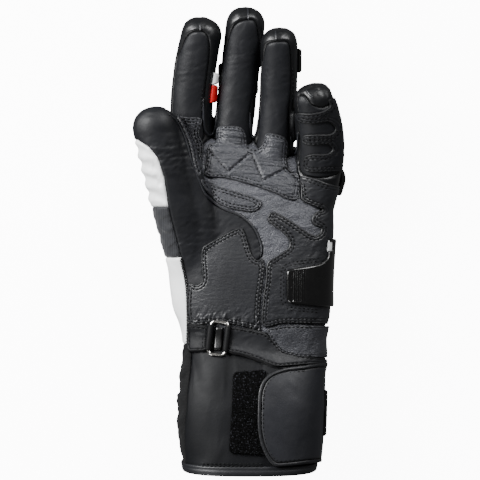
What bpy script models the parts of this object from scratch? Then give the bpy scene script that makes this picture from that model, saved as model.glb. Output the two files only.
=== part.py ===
"""A motorcycle gauntlet for the left hand, lying on its back with the palm up.

The glove is made the way a glover makes it. A hollow hand form, lofted from sections, gives the shape
of the leather wall, and each panel is the stretch of that wall inside the panel's outline. Patches,
straps and guards are cut the same way from thin layers that lie one on another over the form.

All lengths are in metres, with the fingers along +Y, the little finger towards +X and the palm up.
"""

import math

import bpy
import numpy as np
from mathutils import Matrix, Vector

# Driving sizes of the glove
GLOVE_LENGTH = 0.309
PALM_WIDTH = 0.106
PALM_DEPTH = 0.044
FINGER_DEPTH = 0.026
THUMB_DEPTH = 0.029
CUFF_DEPTH = 0.061

# Walls and layers
LEATHER = 0.0018
PATCH = 0.0011
STRAP = 0.0014
TAB = 0.0013
LOOP_PILE = 0.0012
FLAP = 0.0016
BINDING = 0.0012
SLIDER = 0.0020
GUARD = 0.0045
FINGER_GUARD = 0.0026
WRIST_GUARD = 0.0016
GAP = 0.0003

# The strap's metal loop and its rubber keeper
RING_WIRE = 0.0020
RING_ACROSS = 0.0137
RING_ALONG = 0.0238
RING_CORNER = 0.0030
KEEPER = 0.0024
FOLD = 0.0011

# The pattern grid: outlines and sections are drawn on it, from the middle of the glove.
# One unit across is a 160th of the palm's width, and one unit along a 468th of the glove's length.
ACROSS = PALM_WIDTH / 160
ALONG = GLOVE_LENGTH / 468

# Levels of the layers, as offsets from the outside of the leather
PATCH_LEVELS = (GAP, GAP + PATCH)
STRAP_LEVELS = (GAP, GAP + STRAP)
TAB_LEVELS = (STRAP_LEVELS[1] + GAP, STRAP_LEVELS[1] + GAP + TAB)
SLIDER_LEVELS = (PATCH_LEVELS[1] + GAP, PATCH_LEVELS[1] + GAP + SLIDER)
PILE_LEVELS = (GAP, GAP + LOOP_PILE)
FLAP_LEVELS = (PILE_LEVELS[1] + GAP, PILE_LEVELS[1] + GAP + FLAP)
DOUBLED_LEVELS = (GAP, GAP + 2 * STRAP)
KEEPER_LEVELS = (GAP, GAP + KEEPER)
HEM_LEVELS = (GAP, GAP + BINDING)
GUARD_LEVELS = (GAP, GAP + GUARD)
FINGER_GUARD_LEVELS = (GAP, GAP + FINGER_GUARD)
WRIST_GUARD_LEVELS = (FLAP_LEVELS[1] + GAP, FLAP_LEVELS[1] + GAP + WRIST_GUARD)

# The table top is at z = 0, and the hem's binding and the knuckle guard lie on it
HEM_FLOOR = HEM_LEVELS[1]

# Sections of the cuff and hand, from the hem to the knuckles. The middle across and the half width
# are in grid units, the middle height and half depth are shares of the depth that the row names,
# and skew is how far a section drops towards the little finger for each unit across.
TRUNK = [
    # along, middle, half width, height, half depth, depth, skew
    (-228.5, 9.5, 65.5, 0.508, 0.500, CUFF_DEPTH, 0.00),
    (-220, 9.5, 67.0, 0.508, 0.500, CUFF_DEPTH, 0.00),
    (-200, 8.5, 69.8, 0.508, 0.500, CUFF_DEPTH, 0.02),
    (-170, 8.5, 71.0, 0.508, 0.492, CUFF_DEPTH, 0.05),
    (-145, 10.0, 70.0, 0.492, 0.459, CUFF_DEPTH, 0.10),
    (-122, 11.8, 68.4, 0.467, 0.400, CUFF_DEPTH, 0.15),
    (-105, 12.5, 70.5, 0.614, 0.500, PALM_DEPTH, 0.20),
    (-82, 7.5, 75.0, 0.636, 0.500, PALM_DEPTH, 0.20),
    (-60, 8.5, 79.5, 0.636, 0.511, PALM_DEPTH, 0.20),
    (-30, 9.0, 79.5, 0.636, 0.511, PALM_DEPTH, 0.20),
    (0, 13.0, 77.0, 0.614, 0.489, PALM_DEPTH, 0.20),
    (25, 14.5, 77.5, 0.600, 0.470, PALM_DEPTH, 0.20),
    (50, 13.5, 79.0, 0.560, 0.450, PALM_DEPTH, 0.20),
    (78, 15.3, 84.2, 0.500, 0.400, PALM_DEPTH, 0.20),
]
TRUNK_DOME = 18
# The mouth leans: beyond LEAN_START its upper side reaches this much further for each unit of height
MOUTH_LEAN = 0.13
LEAN_START = -190
TRUNK_ROUNDNESS = 2.6
TRUNK_SIDES = 24
TRUNK_RINGS = 13

# Fingers and thumb: a curved middle line through the hand to the tip, whose points are grid units
# across and along and a share of the palm's depth in height, and half widths in grid units and
# half depths as shares of the depth that the row names, each at the root, the middle and the tip.
LIMBS = {
    # name: root, bend, tip, half widths, half depths, depth
    "index": ((-39, 24, 0.58), (-60.5, 128, 0.49), (-35.8, 221, 0.91), (17, 22, 19.3), (0.42, 0.49, 0.44), FINGER_DEPTH),
    "middle": ((-14, 40, 0.55), (-2.5, 143, 0.48), (7.5, 233, 0.86), (18, 19.8, 19.3), (0.46, 0.49, 0.45), FINGER_DEPTH),
    "ring": ((28, 40, 0.57), (41.5, 125, 0.60), (39, 212.5, 1.05), (17, 19.4, 18), (0.46, 0.48, 0.43), FINGER_DEPTH),
    "little": ((68, 18, 0.58), (92.5, 95, 0.78), (69, 154, 1.27), (17, 21.3, 17.8), (0.42, 0.46, 0.42), FINGER_DEPTH),
    "thumb": ((-32, -62, 0.64), (-68, 45, 0.97), (-89, 133, 1.20), (30, 25.2, 23.2), (0.42, 0.50, 0.44), THUMB_DEPTH),
}
FINGERS = ("index", "middle", "ring", "little")
LIMB_ROUNDNESS = 2.2
LIMB_SIDES = 12
LIMB_RINGS = 4
ROD_SIDES = 10
TIP_DOME = {"index": 17, "middle": 18, "ring": 17, "little": 16, "thumb": 25}

# Heights that part the palm side from the back, as shares of the palm's depth
SIDE_SEAM = 0.50
INSERT_FOOT = 0.30
GUSSET_FOOT = 0.22
SLIDER_FOOT = 0.36
FLAP_FOOT = 0.40
SKY = 0.09
CELLAR = -0.02
FAR = 140

# Outlines of the panels on the pattern grid, as seen from the palm
WHITE_SIDE = [
    (-FAR, 103), (-104, 100), (-91, 92.5), (-82, 82), (-76, 64), (-72, 36), (-68, 17),
    (-59, -18), (-54, -41), (-52, -60), (-51.5, -90), (-51.5, -150), (-FAR, -150),
]
THUMB_BACK_END = 33
INSERT_END = -18
THENAR = [
    (-48, 72), (-44, 60), (-38, 50), (-29, 39.5), (-16, 31), (-3.5, 27), (6.7, 20.5), (14.4, 11.5),
    (19.5, 1), (22, -9), (21, -17), (14, -21), (7, -12), (-2, 0), (-32, -14), (-36, -28), (-36, -54),
    (-62, -54), (-80, -30), (-82, 20), (-78, 60), (-62, 76),
]
HEEL_PATCH = [
    (-50.5, -46), (-42, -45), (-37.5, -39), (-38.5, -22), (-38, -9), (-31, -3), (-2, 12), (4, 8.5),
    (8, -3), (12, -15), (17, -20), (22.5, -18.5), (24.5, -28), (22.5, -45), (20.5, -62), (19.5, -80),
    (20.5, -91), (10, -88.2), (-12, -84), (-30, -84), (-50.5, -81.5),
]
OUTER_PATCH = [
    (61, 64), (72, 63), (97, 54.5), (FAR, 50), (FAR, -80), (84, -81.5), (45, -80.5), (23, -83),
    (22.5, -62), (25.5, -40), (27, -23.5), (36, -16.5), (47, -9), (49, -2), (43, 7), (28.5, 18),
    (28.5, 25), (35, 28), (54, 17), (71, 5.5), (78, 6), (80.5, 11.5), (73.5, 15), (71.5, 21),
    (75, 27.5), (82, 30.5), (72, 34.5), (61.5, 40), (60.5, 52),
]
QUILTED_PATCH = [
    (-35, 64), (-33, 81), (-31.5, 95), (-24, 99), (-22.5, 112), (-16, 115), (0, 113.5), (5, 107),
    (7, 94), (16, 90.5), (23, 96), (26, 106), (33, 107), (46.5, 101), (46.3, 83.5), (49, 71),
    (59, 66), (59.5, 48), (56, 40), (46, 41.5), (34, 47), (9.6, 55.4), (-15, 61.8),
]
INDEX_BASE_PATCH = [
    (-63, 124), (-52, 123.5), (-38.5, 121.5), (-41, 107), (-37, 96), (-37, 84), (-38.5, 72),
    (-41, 63), (-45, 70), (-50, 92), (-56, 108),
]
STRIP_PATCH = [
    (-39.5, 61), (-36, 51.5), (-29, 43), (-20, 35.5), (-8, 31), (10, 28), (18, 30), (22, 37),
    (13, 43), (-12, 51), (-28, 56),
]
LITTLE_PATCH = [
    (58, 127), (71, 127), (82, 129), (89, 134), (92, 142), (FAR, 136), (FAR, 70), (100, 69),
    (74, 68), (64, 71), (63.5, 82), (72, 86.5), (86, 86.5), (92, 91), (87, 96), (72, 95),
    (62.5, 98), (64, 105), (76, 106), (90, 106.5), (94.5, 112), (88, 118), (72, 116.5), (59, 119),
]
SLIDER_OUTLINE = [
    (46.7, -60), (46.7, -31), (52, -28.5), (66, -26.8), (81, -24), (89, -18), (91.5, -8), (91.5, 1),
    (FAR, 1), (FAR, -67), (92, -67), (70, -65.5), (51, -64),
]
SLIDER_WINDOW = [(91.2, -1.5), (95, -1.5), (94.2, -11.5), (90.4, -11)]
WRIST_LINE = [(-FAR - 10, -98), (10, -106), (FAR + 10, -133), (FAR + 10, 180), (-FAR - 10, 180)]
STRAP_OUTLINE = [
    (-12, -85.5), (10, -90), (26, -98), (50, -103), (FAR, -112), (FAR, -136), (60, -131),
    (34, -129), (22, -123.5), (5, -117), (-13.5, -113),
]
STUB_OUTLINE = [(-53.5, -83), (-28.5, -85.5), (-30.5, -112.5), (-53.5, -113)]
STRAP_DOUBLED = [
    (-12.5, -86), (6, -89.5), (23.2, -96.2), (33.5, -106.8), (37.5, -112), (37, -128.5), (22, -122.5), (6, -116.5), (-14, -112.5),
]
STUB_DOUBLED = [(-51, -84), (-29.5, -86), (-31.5, -112), (-51, -112.5)]
KEEPER_OUTLINE = [(-24, -86.5), (-16.5, -87), (-18.4, -111.5), (-26, -111)]
LOOP_MIDDLE = (-21.2, -98.8)
LOOP_TURN = -6
TAB_OUTLINE = [
    (24.5, -88.5), (50, -85), (FAR, -86), (FAR, -119), (88, -118), (55, -118), (41, -114), (35, -106),
]
CUFF_PANEL_EDGE = -54
LOOP_PATCH = [(-7, -133), (26, -130), (30, -216), (-11, -213), (-8, -170)]
FLAP_OUTLINE = [
    (17.5, -170), (19, -150), (26, -138), (38, -131.5), (60, -127.5), (FAR, -121), (FAR, -218),
    (80, -222), (45, -226), (32, -224.5), (22.5, -210), (18, -192),
]
FLAP_BINDING_WIDTH = 0.0024
HEM_TOP = -221.5
KNUCKLE_GUARD = [(-52, 88), (-30, 100), (20, 98), (60, 88), (FAR, 78), (FAR, 46), (60, 50), (15, 62), (-30, 66)]
WRIST_GUARD_OUTLINE = [(62, -151), (FAR, -148), (FAR, -199), (62, -196)]
FINGER_PANELS = {
    "index": [
        (-65, 112), (-66, 128), (-65.5, 150), (-61, 172), (-58, 190), (-54, 204), (-45.5, 209),
        (-35, 208), (-30.5, 198), (-30.5, 182), (-34, 155), (-36.5, 128), (-37, 112),
    ],
    "middle": [
        (-23.5, 106), (-22.5, 122), (-20, 150), (-16.5, 175), (-13, 195), (-7, 214), (4, 220.5),
        (15.5, 219), (18, 200), (17.8, 180), (14, 154), (11, 128), (10.8, 106),
    ],
    "ring": [
        (21.5, 96), (21.3, 128), (22, 155), (24.5, 184), (27, 196.5), (40, 199), (49, 196.5),
        (51.3, 180), (51.5, 156), (49.5, 128), (47, 96),
    ],
    "little": [
        (62, 76), (59, 100), (57, 128), (57, 143), (64, 144.5), (72, 135), (83, 132), (92, 135),
        (95, 120), (98, 96), (98, 76),
    ],
}
# Finger guards on the backs
FINGER_GUARDS = {
    # name: start along, end along, left, right
    "index": (134, 166, -57, -28.5),
    "middle": (146, 178, -19.5, 16),
    "ring": (168, 192, 26, 70),
    "little": (92, 116, 66, 100),
}
# How far below a finger's middle its guard ends, as a share of the finger's depth
GUARD_DROP = 0.06

CORNER_SHARE = 0.4
CORNER_STEPS = 2

LEATHER_BLACK = ((0.030, 0.031, 0.034), 0.48, 0.0)
LEATHER_WHITE = ((0.78, 0.79, 0.78), 0.50, 0.0)
GOATSKIN_BLACK = ((0.050, 0.051, 0.055), 0.60, 0.0)
STRETCH_GREY = ((0.075, 0.078, 0.080), 0.85, 0.0)
STRETCH_BLACK = ((0.014, 0.014, 0.015), 0.90, 0.0)
RUBBER_BLACK = ((0.012, 0.012, 0.012), 0.30, 0.0)
MOULDED_BLACK = ((0.018, 0.018, 0.019), 0.35, 0.0)
GUARD_RED = ((0.62, 0.02, 0.02), 0.35, 0.0)
STEEL = ((0.62, 0.61, 0.59), 0.22, 1.0)
PILE_BLACK = ((0.008, 0.008, 0.009), 0.98, 0.0)


def clear_scene():
    for item in list(bpy.data.objects):
        bpy.data.objects.remove(item)


def collection(name):
    made = bpy.data.collections.new(name)
    bpy.context.scene.collection.children.link(made)
    return made


def principled(name, look):
    """A material from its colour, roughness and metallic value."""
    colour, roughness, metallic = look
    made = bpy.data.materials.get(name) or bpy.data.materials.new(name)
    made.use_nodes = True
    shader = made.node_tree.nodes["Principled BSDF"]
    shader.inputs["Base Color"].default_value = (*colour, 1.0)
    shader.inputs["Roughness"].default_value = roughness
    shader.inputs["Metallic"].default_value = metallic
    return made


def mesh_object(name, mesh):
    """A helper object, left out of renders until it is named a part."""
    made = bpy.data.objects.new(name, mesh)
    CUTTERS.objects.link(made)
    made.hide_render = True
    made.display_type = "WIRE"
    return made


def baked(item):
    """The item with its modifiers made part of its mesh."""
    bpy.context.view_layer.update()
    evaluated = item.evaluated_get(bpy.context.evaluated_depsgraph_get())
    mesh = bpy.data.meshes.new_from_object(evaluated)
    item.modifiers.clear()
    item.data = mesh
    return item


def combined(name, base, operation, *others):
    """A copy of base, joined with or cut by the others. The exact solver empties some of the thin walls."""
    made = mesh_object(name, base.data.copy())
    for other in others:
        change = made.modifiers.new(other.name, "BOOLEAN")
        change.operation = operation
        change.solver = "MANIFOLD"
        change.object = other
    return baked(made)


def union(name, first, *others):
    return combined(name, first, "UNION", *others)


def cut(name, base, *others):
    return combined(name, base, "DIFFERENCE", *others)


def common(name, base, *others):
    return combined(name, base, "INTERSECT", *others)


def part(name, solid, look_name, look):
    """Moves a finished solid from the helpers to the glove, as a node with its own material."""
    solid.name = name
    solid.data.name = name
    CUTTERS.objects.unlink(solid)
    GLOVE.objects.link(solid)
    solid.hide_render = False
    solid.display_type = "TEXTURED"
    solid.data.materials.clear()
    solid.data.materials.append(principled(look_name, look))
    solid.data.shade_smooth()
    solid.data.set_sharp_from_angle(angle=math.radians(35))
    return solid


def section(sides, roundness):
    """Points round a superellipse, in its half widths: cosine and sine, each to the power 2 / roundness."""
    turn = np.arange(sides) * (2 * math.pi / sides)
    cosine, sine = np.cos(turn), np.sin(turn)
    power = 2 / roundness
    return np.sign(cosine) * np.abs(cosine) ** power, np.sign(sine) * np.abs(sine) ** power


def smooth_rows(rows, count):
    """Rows of numbers read from a smooth curve (Catmull-Rom) through the given rows, evenly spaced."""
    rows = np.asarray(rows, float)
    padded = np.vstack([2 * rows[0] - rows[1], rows, 2 * rows[-1] - rows[-2]])
    place = np.linspace(0, len(rows) - 1, count)
    span = np.minimum(place.astype(int), len(rows) - 2)
    t = (place - span)[:, None]
    before, start, end, after = (padded[span + i] for i in range(4))
    return 0.5 * (
        2 * start
        + (end - before) * t
        + (2 * before - 5 * start + 4 * end - after) * t**2
        + (3 * start - before - 3 * end + after) * t**3
    )


def dome_steps(count, roundness):
    """Forward and sideways shares of a rounded end, from its rim towards its pole."""
    turn = np.linspace(0, math.pi / 2, count + 1)[1:-1]
    return list(zip(np.sin(turn) ** (2 / roundness), np.cos(turn) ** (2 / roundness)))


def loft(name, rings, pole):
    """A closed mesh through rings of points, with a flat first end and a last end drawn to the pole."""
    rings = np.asarray(rings, float)
    count, sides = rings.shape[:2]
    points = np.vstack([rings.reshape(-1, 3), pole])
    faces = [tuple(range(sides))]
    for ring in range(count - 1):
        for side in range(sides):
            following = (side + 1) % sides
            low, high = ring * sides, (ring + 1) * sides
            faces.append((low + side, high + side, high + following, low + following))
    last, tip = (count - 1) * sides, len(points) - 1
    faces += [(last + (side + 1) % sides, last + side, tip) for side in range(sides)]
    mesh = bpy.data.meshes.new(name)
    mesh.from_pydata(points.tolist(), [], faces)
    if mesh.validate():
        mesh.update()
    return mesh_object(name, mesh)


def trunk(name, offset, hem_reach=0.0):
    """The cuff and hand as one loft, its surface moved outwards by offset. The hem can reach further."""
    rows = [(a, m, w, h * d, t * d, s) for a, m, w, h, t, d, s in TRUNK]
    rows = smooth_rows(rows, TRUNK_RINGS)
    wide, deep = section(TRUNK_SIDES, TRUNK_ROUNDNESS)
    rings = []

    def ring(row, forward=0.0, share=1.0):
        along, middle, half_width, height, half_depth, skew = row
        across = middle * ACROSS + wide * (half_width * ACROSS + offset) * share
        up = height + deep * (half_depth + offset) * share
        up = np.maximum(up, HEM_FLOOR - offset)
        lean = MOUTH_LEAN * min(max((LEAN_START - along) / (LEAN_START - TRUNK[0][0]), 0.0), 1.0)
        length = along * ALONG - skew * (across - middle * ACROSS) - lean * (up - height) + forward
        rings.append(np.stack([across, length, up], axis=1))

    if hem_reach:
        ring(rows[0], -hem_reach)
    for row in rows:
        ring(row)
    for forward, share in dome_steps(3, TRUNK_ROUNDNESS):
        ring(rows[-1], forward * (TRUNK_DOME * ALONG + offset), share)
    last = rows[-1]
    pole = (last[1] * ACROSS, last[0] * ALONG + TRUNK_DOME * ALONG + offset, last[3])
    return loft(name, rings, pole)


def limb_line(root, bend, tip, count):
    """Points and unit directions along the curve from root to tip that leans towards bend."""
    scale = np.array([ACROSS, ALONG, PALM_DEPTH])
    root, bend, tip = (np.array(p) * scale for p in (root, bend, tip))
    t = np.linspace(0, 1, count)[:, None]
    points = root * (1 - t) ** 2 + 2 * bend * t * (1 - t) + tip * t**2
    ways = 2 * (bend - root) * (1 - t) + 2 * (tip - bend) * t
    return points, ways / np.linalg.norm(ways, axis=1)[:, None]


def limb(name, which, offset):
    """A finger or the thumb as a loft with a rounded tip, its surface moved outwards by offset."""
    root, bend, tip, half_widths, half_depths, depth = LIMBS[which]
    fine = 60
    points, ways = limb_line(root, bend, tip, fine)
    travelled = np.concatenate([[0], np.cumsum(np.linalg.norm(np.diff(points, axis=0), axis=1))])
    dome = TIP_DOME[which] * ALONG
    rim = travelled[-1] - dome
    wide, deep = section(LIMB_SIDES, LIMB_ROUNDNESS)
    rings = []

    def at(distance):
        share = np.interp(distance, travelled, np.linspace(0, 1, fine))
        point = np.array([np.interp(distance, travelled, points[:, i]) for i in range(3)])
        way = np.array([np.interp(distance, travelled, ways[:, i]) for i in range(3)])
        weights = ((1 - share) * (1 - 2 * share), 4 * share * (1 - share), share * (2 * share - 1))
        half_width = sum(w * h for w, h in zip(weights, half_widths)) * ACROSS
        half_depth = sum(w * h for w, h in zip(weights, half_depths)) * depth
        return point, way / np.linalg.norm(way), half_width, half_depth

    def ring(distance, forward=0.0, size=1.0):
        point, way, half_width, half_depth = at(distance)
        side = np.cross(way, (0, 0, 1))
        side /= np.linalg.norm(side)
        up = np.cross(side, way)
        centre = point + way * forward
        rings.append(
            centre
            + np.outer(wide * (half_width + offset) * size, side)
            + np.outer(deep * (half_depth + offset) * size, up)
        )

    for distance in np.linspace(0, rim, LIMB_RINGS):
        ring(distance)
    for forward, size in dome_steps(3, LIMB_ROUNDNESS):
        ring(rim, forward * (dome + offset), size)
    point, way, _, _ = at(rim)
    return loft(name, rings, point + way * (dome + offset))


def on_grid(points):
    return [(u * ACROSS, v * ALONG) for u, v in points]


def rounded(points):
    """An outline with each corner turned into a short curve between its neighbouring edges."""
    corners = np.array(points, float)
    before, after = np.roll(corners, 1, axis=0), np.roll(corners, -1, axis=0)
    start = corners + (before - corners) * CORNER_SHARE
    end = corners + (after - corners) * CORNER_SHARE
    steps = np.linspace(0, 1, CORNER_STEPS)[:, None, None]
    curve = start * (1 - steps) ** 2 + 2 * corners * steps * (1 - steps) + end * steps**2
    return curve.transpose(1, 0, 2).reshape(-1, 2)


def finger_plane(which):
    """The slope along the glove of a finger's middle, and its height at the middle of the grid."""
    root, _, tip = (LIMBS[which][i] for i in range(3))
    slope = (tip[2] - root[2]) * PALM_DEPTH / ((tip[1] - root[1]) * ALONG)
    return slope, root[2] * PALM_DEPTH - slope * root[1] * ALONG


def grown(outline, distance):
    """An outline moved outwards along its own normals, or inwards if distance is negative."""
    points = np.array(outline, float)
    along = np.roll(points, -1, axis=0) - np.roll(points, 1, axis=0)
    along /= np.linalg.norm(along, axis=1)[:, None]
    following = np.roll(points, -1, axis=0)
    area = (points[:, 0] * following[:, 1] - following[:, 0] * points[:, 1]).sum()
    outwards = np.stack([along[:, 1], -along[:, 0]], axis=1) * math.copysign(1, area)
    return points + outwards * distance


def prism(name, outline, low, high, slope=0.0):
    """An outline drawn upwards from low to high, both of which may rise with slope along the glove."""
    curve = bpy.data.curves.new(name, "CURVE")
    curve.dimensions = "2D"
    curve.fill_mode = "BOTH"
    curve.extrude = (high - low) / 2
    spline = curve.splines.new("POLY")
    spline.points.add(len(outline) - 1)
    for point, (x, y) in zip(spline.points, outline):
        point.co = (x, y, 0, 1)
    spline.use_cyclic_u = True
    drawn = mesh_object(name, curve)
    bpy.context.view_layer.update()
    mesh = bpy.data.meshes.new_from_object(drawn.evaluated_get(bpy.context.evaluated_depsgraph_get()))
    bpy.data.objects.remove(drawn)
    middle = (high + low) / 2
    for vertex in mesh.vertices:
        vertex.co.z += middle + slope * vertex.co.y
    solid = mesh_object(name, mesh)
    weld = solid.modifiers.new("weld", "WELD")
    weld.merge_threshold = 0.00001
    return baked(solid)


def panel(name, outline, low=CELLAR, high=SKY, grow=0.0, slope=0.0):
    return prism(name, grown(rounded(on_grid(outline)), grow), low, high, slope)


def block(name, outline, low=CELLAR, high=SKY, grow=0.0, slope=0.0):
    """As a panel, with sharp corners."""
    return prism(name, grown(on_grid(outline), grow), low, high, slope)


def hand_form(name, offset, hem_reach=0.0, limbs=("thumb", *FINGERS)):
    """The whole hand with its cuff, as one closed form moved outwards by offset."""
    body = trunk(f"{name}_trunk", offset, hem_reach)
    others = [limb(f"{name}_{which}", which, offset) for which in limbs]
    return union(name, body, *others)


def layer(name, outline_solid, levels):
    """A thin layer over the hand form, between two levels and inside the outline's solid."""
    return cut(name, common(f"{name}_block", outline_solid, form_at(levels[1])), form_at(levels[0]))


def form_at(offset):
    """The hand form at this offset, made once."""
    key = round(offset * 1e6)
    if key not in FORMS:
        FORMS[key] = hand_form(f"form_{key}", offset)
    return FORMS[key]


def cut_hand_panels(wall):
    """The leather of the hand: palm, back, thumb, thumb back and thumb insert.

    Each piece is the wall inside its own zone, and the zones are built first, a gap apart.
    """
    split = SIDE_SEAM * PALM_DEPTH
    insert_foot = INSERT_FOOT * PALM_DEPTH
    hand = block("hand_region", WRIST_LINE, 2 * CELLAR, 1.2 * SKY, grow=-GAP / 2)
    thumb_near = limb("thumb_near", "thumb", GAP)
    thumb_clear = limb("thumb_clear", "thumb", 2 * GAP)
    thenar = block("thenar", THENAR, split)
    thenar_clear = block("thenar_clear", THENAR, split - GAP, grow=GAP)
    white = block("white_side", WHITE_SIDE)
    white_clear = block("white_side_clear", WHITE_SIDE, grow=GAP)

    thumb_side = union("thumb_side", thumb_near, thenar)
    thumb_side_clear = union("thumb_side_clear", thumb_clear, thenar_clear)
    thumb_zone = cut("thumb_zone", thumb_side, white_clear)
    part("thumb_leather", common("thumb_front", wall, thumb_zone), "leather_black", LEATHER_BLACK)

    back_zone = block("thumb_back_region", [(-FAR, 130), (-60, 130), (-60, THUMB_BACK_END), (-FAR, THUMB_BACK_END)])
    thumb_back = common("thumb_back_zone", thumb_near, white, back_zone)
    part("thumb_back", common("thumb_back_wall", wall, thumb_back), "leather_white", LEATHER_WHITE)

    insert_top = THUMB_BACK_END - GAP / ALONG
    insert_outline = [(-FAR, insert_top), (-50, insert_top), (-50, INSERT_END), (-FAR, INSERT_END)]
    insert_zone = common("insert_zone", block("insert_region", insert_outline, insert_foot), white)
    insert_clear = block("insert_clear", insert_outline, insert_foot - GAP, grow=GAP)
    part("thumb_insert", common("insert_wall", wall, insert_zone), "stretch_grey", STRETCH_GREY)

    right_of_white = [(-51.5, -160), (-51.5, -90), (-52, -60), (-54, -41), (-59, -18), (-68, 17), (-72, 36), (-76, 64)]
    palm_outline = [*right_of_white, (-82, 140), (FAR, 140), (FAR, -160)]
    palm_side = block("palm_side", palm_outline, split)
    palm_side_clear = block("palm_side_clear", palm_outline, split - GAP, grow=GAP)
    palm_zone = cut("palm_zone", common("palm_region", palm_side, hand), thumb_side_clear)
    part("palm_leather", common("palm_wall", wall, palm_zone), "goatskin_black", GOATSKIN_BLACK)

    back_zone = cut("back_zone", hand, palm_side_clear, thumb_clear, insert_clear)
    part("back_leather", common("back_wall", wall, back_zone), "leather_white", LEATHER_WHITE)


def cut_fingers(cavity):
    """Each finger is a wrap round its sides, back and tip, and a panel on its palm side."""
    near = trunk("trunk_near", GAP)
    beside_thumb = limb("finger_by_thumb", "thumb", GAP)
    for which in FINGERS:
        slope, low = finger_plane(which)
        tube = cut(f"{which}_tube", limb(f"{which}_outside", which, 0.0), cavity, near, beside_thumb)
        inside = block(f"{which}_outline", FINGER_PANELS[which], low, slope=slope)
        clear = block(f"{which}_outline_clear", FINGER_PANELS[which], low - GAP, grow=GAP, slope=slope)
        part(f"{which}_palm_panel", common(f"{which}_front", tube, inside), "leather_black", LEATHER_BLACK)
        part(f"{which}_wrap", cut(f"{which}_rest", tube, clear), "leather_black", LEATHER_BLACK)


def cut_cuff(wall):
    """The cuff's palm side, back and stretch gusset, and the binding round its hem."""
    split = SIDE_SEAM * CUFF_DEPTH
    foot = GUSSET_FOOT * CUFF_DEPTH
    hand_clear = block("hand_region_clear", WRIST_LINE, 2 * CELLAR, 1.2 * SKY, grow=GAP / 2)
    front = [(CUFF_PANEL_EDGE, -80), (FAR, -80), (FAR, -250), (CUFF_PANEL_EDGE, -250)]
    side = [(-FAR, -60), (CUFF_PANEL_EDGE - GAP / ACROSS, -60), (CUFF_PANEL_EDGE - GAP / ACROSS, -250), (-FAR, -250)]
    whole = [(-FAR, -60), (FAR, -60), (FAR, -250), (-FAR, -250)]
    front_zone = cut("front_zone", block("front_region", front, split), hand_clear)
    front_clear = block("front_clear", front, split - GAP, grow=GAP)
    gusset_zone = cut("gusset_zone", block("gusset_region", side, foot), hand_clear)
    gusset_clear = block("gusset_clear", side, foot - GAP, grow=GAP)
    back_zone = cut("cuff_back_zone", block("cuff_region", whole), hand_clear, front_clear, gusset_clear)
    part("cuff_leather", common("cuff_front_wall", wall, front_zone), "leather_black", LEATHER_BLACK)
    part("cuff_gusset", common("gusset_wall", wall, gusset_zone), "stretch_black", STRETCH_BLACK)
    part("cuff_back", common("cuff_back_wall", wall, back_zone), "leather_black", LEATHER_BLACK)

    hem_reach = GAP + BINDING
    collar = cut("collar", trunk("collar_out", HEM_LEVELS[1], hem_reach), trunk("collar_in", HEM_LEVELS[0]))
    mouth = trunk("mouth", -LEATHER, 4 * hem_reach)
    ring_zone = block("hem_zone", [(-FAR, HEM_TOP), (FAR, HEM_TOP), (FAR, -260), (-FAR, -260)])
    part("cuff_hem", common("hem", cut("hem_ring", collar, mouth), ring_zone), "leather_black", LEATHER_BLACK)


def sew_patches():
    """The patches on the palm, one layer over the leather."""
    low = SIDE_SEAM * PALM_DEPTH
    beside_thumb = limb("beside_thumb", "thumb", PATCH_LEVELS[1] + GAP)
    index_base = cut("index_base_zone", panel("index_base_region", INDEX_BASE_PATCH, low), beside_thumb)
    part("index_base_patch", layer("index_base_layer", index_base, PATCH_LEVELS), "goatskin_black", GOATSKIN_BLACK)
    for name, outline, look_name, look in (
        ("quilted_patch", QUILTED_PATCH, "goatskin_black", GOATSKIN_BLACK),
        ("strip_patch", STRIP_PATCH, "goatskin_black", GOATSKIN_BLACK),
        ("heel_patch", HEEL_PATCH, "leather_black", LEATHER_BLACK),
        ("outer_patch", OUTER_PATCH, "leather_black", LEATHER_BLACK),
    ):
        part(name, layer(f"{name}_layer", block(f"{name}_zone", outline, low), PATCH_LEVELS), look_name, look)
    slope, low = finger_plane("little")
    zone = block("little_zone", LITTLE_PATCH, low, slope=slope)
    part("little_patch", layer("little_layer", zone, PATCH_LEVELS), "leather_black", LEATHER_BLACK)


def fit_slider():
    """The moulded slider on the heel of the hand, with the open window at its top corner."""
    zone = block("slider_zone", SLIDER_OUTLINE, SLIDER_FOOT * PALM_DEPTH)
    window = block("slider_window", SLIDER_WINDOW)
    solid = layer("slider_layer", zone, SLIDER_LEVELS)
    part("palm_slider", cut("slider_cut", solid, window), "moulded_black", MOULDED_BLACK)


def palm_height(u, v):
    """Height of the palm side of the leather at a place on the grid, from the section through it."""
    rows = smooth_rows([(a, m, w, h * d, t * d, s) for a, m, w, h, t, d, s in TRUNK], 200)
    place = rows[:, 0] - rows[:, 5] * (u - rows[:, 1])
    middle, half_width, height, half_depth = (np.interp(v, place, rows[:, i]) for i in (1, 2, 3, 4))
    share = min(abs(u - middle) / half_width, 1.0)
    return height + half_depth * (1 - share**TRUNK_ROUNDNESS) ** (1 / TRUNK_ROUNDNESS)


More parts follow.
